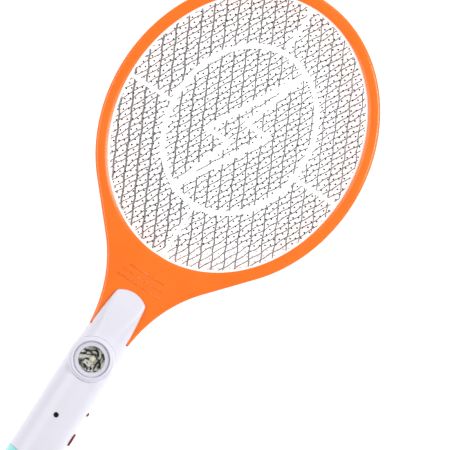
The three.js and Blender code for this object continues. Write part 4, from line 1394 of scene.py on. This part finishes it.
class SWATTER_OT_torch_body(bpy.types.Operator):
    """Build the torch's threaded white body, its light and its seal"""

    bl_idname = "swatter.torch_body"
    bl_label = "Torch body"

    def execute(self, context):
        top = (high("torch_body").y - SHOULDER) / MM
        foot = (SHOULDER - low("torch_body").y) / MM
        step_y = foot - 6
        root, bore, wall = 13.65, 11.5, sizes().torch_wall / MM
        stations = [2 + 1.5 * place for place in range(int((step_y - 3) / 1.5))]
        outer = [(torch_outer(y), -y) for y in reversed(stations)]
        inner = [(torch_outer(y) - wall, -y) for y in stations if y > 5]
        flare = torch_outer(step_y)
        profile = [
            (flare - wall - 1.5, -foot), (flare - 1.5, -foot, 0.5), (flare - 1.5, -step_y),
            (flare, -step_y, 0.5), *outer, (18.65, -0.0, 0.9), (root, 0, 0.2), (root, top, 0.9),
            (bore, top, 0.3), (bore, -2.5), (16.0, -4.0), *inner, (flare - wall - 1.5, -step_y + 4),
        ]
        at = Vector((0, SHOULDER, HEAD.z))
        bm = turn(bmesh.new(), softened(profile, 3), at, Y, 128, closed=True)
        bm = combined(bm, slot_prism(0.35 * MM), "DIFFERENCE")
        hole = rod(bmesh.new(), 1.8 * MM, Vector((-30 * MM, middle("torch_light").y, HEAD.z)), X, 20 * MM)
        bm = combined(bm, hole, "DIFFERENCE")
        ridge = bmesh.new()
        thread_ridge(ridge, root * MM, SHOULDER + 1.7 * MM, sizes().thread_pitch, 2.8)
        merged(ridge)
        mesh = bpy.data.meshes.new("ridge")
        ridge.to_mesh(mesh)
        ridge.free()
        bm.from_mesh(mesh)
        bpy.data.meshes.remove(mesh)
        settle("torch_shell", bm, white_abs(), "torch", ["torch_body"], 35)

        tall = span("torch_light").x / MM
        light = softened([(0, 0), (1.5, 0), (1.5, tall - 0.9, 0.3), (0.9, tall - 0.1, 0.4), (0, tall)])
        start = Vector((high("torch_light").x, middle("torch_light").y, HEAD.z))
        bm = turn(bmesh.new(), light, start, -X, 24)
        settle("torch_indicator", bm, red_plastic(), "torch", ["torch_light"])

        thick = span("torch_seal").y / MM
        at = Vector((0, low("torch_seal").y, HEAD.z))
        seal = softened([(14.95, 0, 0.4), (17.65, 0, 0.5), (17.65, thick, 0.5), (14.95, thick, 0.4)])
        bm = turn(bmesh.new(), seal, at, Y, 96, closed=True)
        settle("sealing_ring", bm, seal_rubber(), "seal", ["torch_seal"])
        return {"FINISHED"}


class SWATTER_OT_torch_switch(bpy.types.Operator):
    """Build the torch's slide switch and its ribbed thumb piece"""

    bl_idname = "swatter.torch_switch"
    bl_label = "Torch switch"

    def add_apron(self, bm, knob, radius, width, extent):
        """Adds the curved leaf under the shell that keeps the slot shut as the piece slides."""
        prism = bmesh.new()
        reach = extent + 13 * MM
        pill(prism, width + 3 * MM, reach, 20 * MM,
             Matrix.Translation((0, knob.y, HEAD.z + 20 * MM)))
        skin = bmesh.new()
        turn(skin, [(radius - 0.6 * MM, -reach), (radius, -reach), (radius, reach),
                    (radius - 0.6 * MM, reach)], Vector((0, knob.y, HEAD.z)), Y, 160, closed=True)
        leaf = combined(prism, skin, "INTERSECT")
        mesh = bpy.data.meshes.new("leaf")
        leaf.to_mesh(mesh)
        leaf.free()
        bm.from_mesh(mesh)
        bpy.data.meshes.remove(mesh)

    def execute(self, context):
        knob = middle("slide_knob")
        top = high("slide_knob").z - HEAD.z
        width, extent = span("slide_knob").x, span("slide_knob").y
        prism = bmesh.new()
        pill(prism, width, extent, 20 * MM, Matrix.Translation((0, knob.y, HEAD.z + 20 * MM)))
        skin = bmesh.new()
        at = Vector((0, knob.y, HEAD.z))
        half = extent
        turn(skin, [(top - 3.4 * MM, -half), (top, -half), (top, half), (top - 3.4 * MM, half)],
             at, Y, 160, closed=True)
        bm = combined(prism, skin, "INTERSECT")
        ribs = bmesh.new()
        for rib in range(4):
            y = (rib - 2) * 2.4 * MM
            turn(ribs, [(top - 0.9 * MM, y - 0.35 * MM), (top + 1 * MM, y - 0.8 * MM),
                        (top + 1 * MM, y + 0.8 * MM), (top - 0.9 * MM, y + 0.35 * MM)],
                 at, Y, 160, closed=True)
        field = bmesh.new()
        pill(field, width - 3.2 * MM, extent - 3.2 * MM, 20 * MM,
             Matrix.Translation((0, knob.y, HEAD.z + 20 * MM)))
        ribs = combined(ribs, field, "INTERSECT")
        bm = combined(bm, ribs, "DIFFERENCE")
        box(bm, Vector((-1.5 * MM, knob.y - 1.5 * MM, low("slide_knob").z)),
            Vector((1.5 * MM, knob.y + 1.5 * MM, HEAD.z + top - 2.5 * MM)))
        dots = bmesh.new()
        for x, y in ((-1.6, 4.9), (0, 5.7), (1.6, 4.9)):
            spot = Vector((x * MM, knob.y + y * MM, HEAD.z + top))
            bmesh.ops.create_icosphere(dots, subdivisions=2, radius=0.55 * MM,
                                       matrix=Matrix.Translation(spot))
        bm = combined(bm, dots, "DIFFERENCE")
        shown = len(bm.faces)
        self.add_apron(bm, knob, top - 4.2 * MM, width, extent)
        bm.faces.ensure_lookup_table()
        for face in bm.faces[shown:]:
            face.material_index = 1
        piece = settle("thumb_slider", bm, slider_abs(), "thumb_slide", ["slide_knob"])
        piece.data.materials.append(white_abs())
        ease_edges(piece, 0.2 * MM, 2, 45)
        black = black_plastic()
        dress("switch_lever", black)
        dress("slide_switch", zinc_steel())
        dress("torch_board", circuit_board())
        return {"FINISHED"}


class SWATTER_OT_torch_lamp(bpy.types.Operator):
    """Build the torch's lens ring, lens, reflector and diode"""

    bl_idname = "swatter.torch_lamp"
    bl_label = "Torch lamp"

    def execute(self, context):
        at = Vector((0, TAIL, HEAD.z))
        outer = span("lens_ring").x / 2 / MM
        tall = span("lens_ring").y / MM
        lens = span("torch_lens").x / 2 / MM
        lens_low = (low("torch_lens").y - TAIL) / MM
        lens_high = (high("torch_lens").y - TAIL) / MM
        spigot = outer - 2.7
        profile = softened([
            (lens - 1.4, 0.0, 0.5), (outer - 0.8, 0.0, 1.0), (outer, 2.2, 0.6), (outer, tall - 2.4, 0.6),
            (outer - 1.2, tall, 0.6), (spigot, tall, 0.2), (spigot, lens_high + 1.3),
            (lens + 0.3, lens_high + 1.3), (lens + 0.3, lens_low - 0.3), (lens - 1.4, lens_low - 0.3),
        ])
        bm = turn(bmesh.new(), profile, at, Y, 144, closed=True)
        grooves = bmesh.new()
        flutes = 36
        for flute in range(flutes):
            angle = math.tau * (flute + 0.5) / flutes
            centre = Vector((math.cos(angle), 0, math.sin(angle))) * (outer + 0.35) * MM
            rod(grooves, 0.9 * MM, at + centre + Y * 3.4 * MM, Y, (tall - 7) * MM, 12)
        bm = combined(bm, grooves, "DIFFERENCE")
        settle("torch_lens_ring", bm, turquoise_abs(), "torch", ["lens_ring"], 30)

        glass = softened([(0, lens_low), (lens - 0.4, lens_low), (lens, lens_low + 0.3, 0.2),
                          (lens, lens_high, 0.2), (0, lens_high)])
        bm = turn(bmesh.new(), glass, at, Y, 96)
        settle("torch_cover", bm, clear_lens(), "torch", ["torch_lens"])

        foot = Vector((0, low("torch_reflector").y, HEAD.z))
        mouth = span("torch_reflector").x / 2 / MM
        deep = span("torch_reflector").y / MM
        cup = [(mouth - 0.7, 0.0), (mouth, 0.0), (mouth, 1.0), (mouth * 0.86, deep * 0.38),
               (mouth * 0.6, deep * 0.7), (4.7, deep), (3.6, deep), (3.6, deep - 0.9),
               (mouth * 0.53, deep * 0.66), (mouth * 0.79, deep * 0.34)]
        bm = faceted_cup(bmesh.new(), [(r * MM, h * MM) for r, h in cup], foot, Y, 28)
        settle("torch_cup", bm, lamp_mirror(), "torch", ["torch_reflector"], 8)

        seat = Vector((0, high("torch_led").y, HEAD.z))
        dome = softened([(0, -4.0), (1.6, -3.4, 1.0), (2.8, -2.0, 0.5), (2.8, 0), (0, 0)])
        bm = turn(bmesh.new(), dome, seat, Y, 40)
        settle("torch_diode", bm, led_epoxy(), "torch", ["torch_led"])
        dress("torch_led_board", circuit_board())
        return {"FINISHED"}


class SWATTER_OT_battery(bpy.types.Operator):
    """Finish the battery cell, its cradle and its contacts"""

    bl_idname = "swatter.battery"
    bl_label = "Battery and contacts"

    def execute(self, context):
        dress("battery_cell", cell_wrap())
        dress("battery_cradle", black_plastic())
        dress("contact_cap", black_plastic())
        dress("contact_pin", brass())
        dress("battery_spring", zinc_steel())
        return {"FINISHED"}


# ---- Stage -----------------------------------------------------------------------------------

CAMERA_SPOT = Vector((0.0935, -0.0208, 2.0))
CAMERA_TURN = (-0.04, 2.21, 32.68)
CAMERA_LENS = 211.7


def floor_material():
    """Opal acrylic light table: white from within, so that hardly a shadow shows on it."""
    material, output = bare_material("lit_opal_acrylic_table")
    tree = material.node_tree
    place = add_node(tree, "ShaderNodeTexCoord").outputs["Object"]
    drift = add_node(tree, "ShaderNodeTexNoise", inputs={"Scale": 2.0}, links={"Vector": place})
    body = ramp(tree, drift.outputs["Fac"], [(0.3, linear("F6F6F6")), (0.7, linear("FAFAFA"))])
    shader = add_node(
        tree,
        "ShaderNodeBsdfPrincipled",
        inputs={"Roughness": 0.8, "Emission Color": linear("FFFFFF"), "Emission Strength": 0.55,
                "Specular IOR Level": 0.1},
        links={"Base Color": body.outputs["Color"]},
    )
    tree.links.new(shader.outputs["BSDF"], output.inputs["Surface"])
    return material


def soft_light(name, spot, aim, side, power):
    """A square area light at a spot, facing an aim."""
    data = bpy.data.lights.new(name, "AREA")
    data.size = side
    data.energy = power
    lamp = bpy.data.objects.new(name, data)
    lamp.location = spot
    lamp.rotation_euler = (aim - spot).to_track_quat("-Z", "Y").to_euler()
    bpy.context.scene.collection.objects.link(lamp)
    return lamp


class SWATTER_OT_stage(bpy.types.Operator):
    """Build the floor, the soft lights and the camera"""

    bl_idname = "swatter.stage"
    bl_label = "Stage"

    def execute(self, context):
        scene = context.scene
        bm = bmesh.new()
        bmesh.ops.create_grid(bm, x_segments=8, y_segments=8, size=8.0)
        mesh = bpy.data.meshes.new("light_table")
        bm.to_mesh(mesh)
        bm.free()
        mesh.materials.append(floor_material())
        table = bpy.data.objects.new("light_table", mesh)
        scene.collection.objects.link(table)

        middle_spot = Vector((0, 0, HEAD.z))
        soft_light("key_light", Vector((1.1, 0.9, 1.5)), middle_spot, 1.0, 25)
        soft_light("fill_light", Vector((-1.2, -0.4, 1.3)), middle_spot, 1.2, 11)
        soft_light("back_light", Vector((-0.2, 1.6, 1.0)), middle_spot, 0.8, 4)

        world = bpy.data.worlds.new("studio")
        world.use_nodes = True
        world.node_tree.nodes["Background"].inputs["Color"].default_value = linear("FFFFFF")
        world.node_tree.nodes["Background"].inputs["Strength"].default_value = 0.43
        scene.world = world
        scene.view_settings.view_transform = "Standard"

        data = bpy.data.cameras.new("camera")
        data.lens = CAMERA_LENS
        data.clip_end = 50
        camera = bpy.data.objects.new("camera", data)
        camera.location = Vector((0, HEAD.y, HEAD.z)) + CAMERA_SPOT
        camera.rotation_euler = [math.radians(angle) for angle in CAMERA_TURN]
        scene.collection.objects.link(camera)
        scene.camera = camera
        return {"FINISHED"}


# ---- Add-on ----------------------------------------------------------------------------------

BUILDERS = (
    SWATTER_OT_frame,
    SWATTER_OT_grids,
    SWATTER_OT_spacers,
    SWATTER_OT_handle,
    SWATTER_OT_screws,
    SWATTER_OT_lamp,
    SWATTER_OT_controls,
    SWATTER_OT_circuit,
    SWATTER_OT_collar,
    SWATTER_OT_torch_body,
    SWATTER_OT_torch_switch,
    SWATTER_OT_torch_lamp,
    SWATTER_OT_battery,
    SWATTER_OT_stage,
)


class SWATTER_PT_panel(bpy.types.Panel):
    """Lists the swatter's pieces and settings"""

    bl_idname = "SWATTER_PT_panel"
    bl_label = "Electric Fly Swatter"
    bl_space_type = "VIEW_3D"
    bl_region_type = "UI"
    bl_category = "Swatter"

    def draw(self, context):
        layout = self.layout
        for builder in BUILDERS:
            layout.operator(builder.bl_idname)
        for settings in (sizes(), colours()):
            for name in settings.__annotations__:
                layout.prop(settings, name)


CLASSES = (SwatterSizes, SwatterColours, *BUILDERS, SWATTER_PT_panel)


def register():
    for cls in CLASSES:
        bpy.utils.register_class(cls)
    bpy.types.Scene.swatter_sizes = PointerProperty(type=SwatterSizes)
    bpy.types.Scene.swatter_colours = PointerProperty(type=SwatterColours)


def unregister():
    del bpy.types.Scene.swatter_colours
    del bpy.types.Scene.swatter_sizes
    for cls in reversed(CLASSES):
        bpy.utils.unregister_class(cls)


def main():
    """Registers the add-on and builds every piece."""
    register()
    for builder in BUILDERS:
        getattr(bpy.ops.swatter, builder.bl_idname.split(".")[1])()


if __name__ == "__main__":
    main()
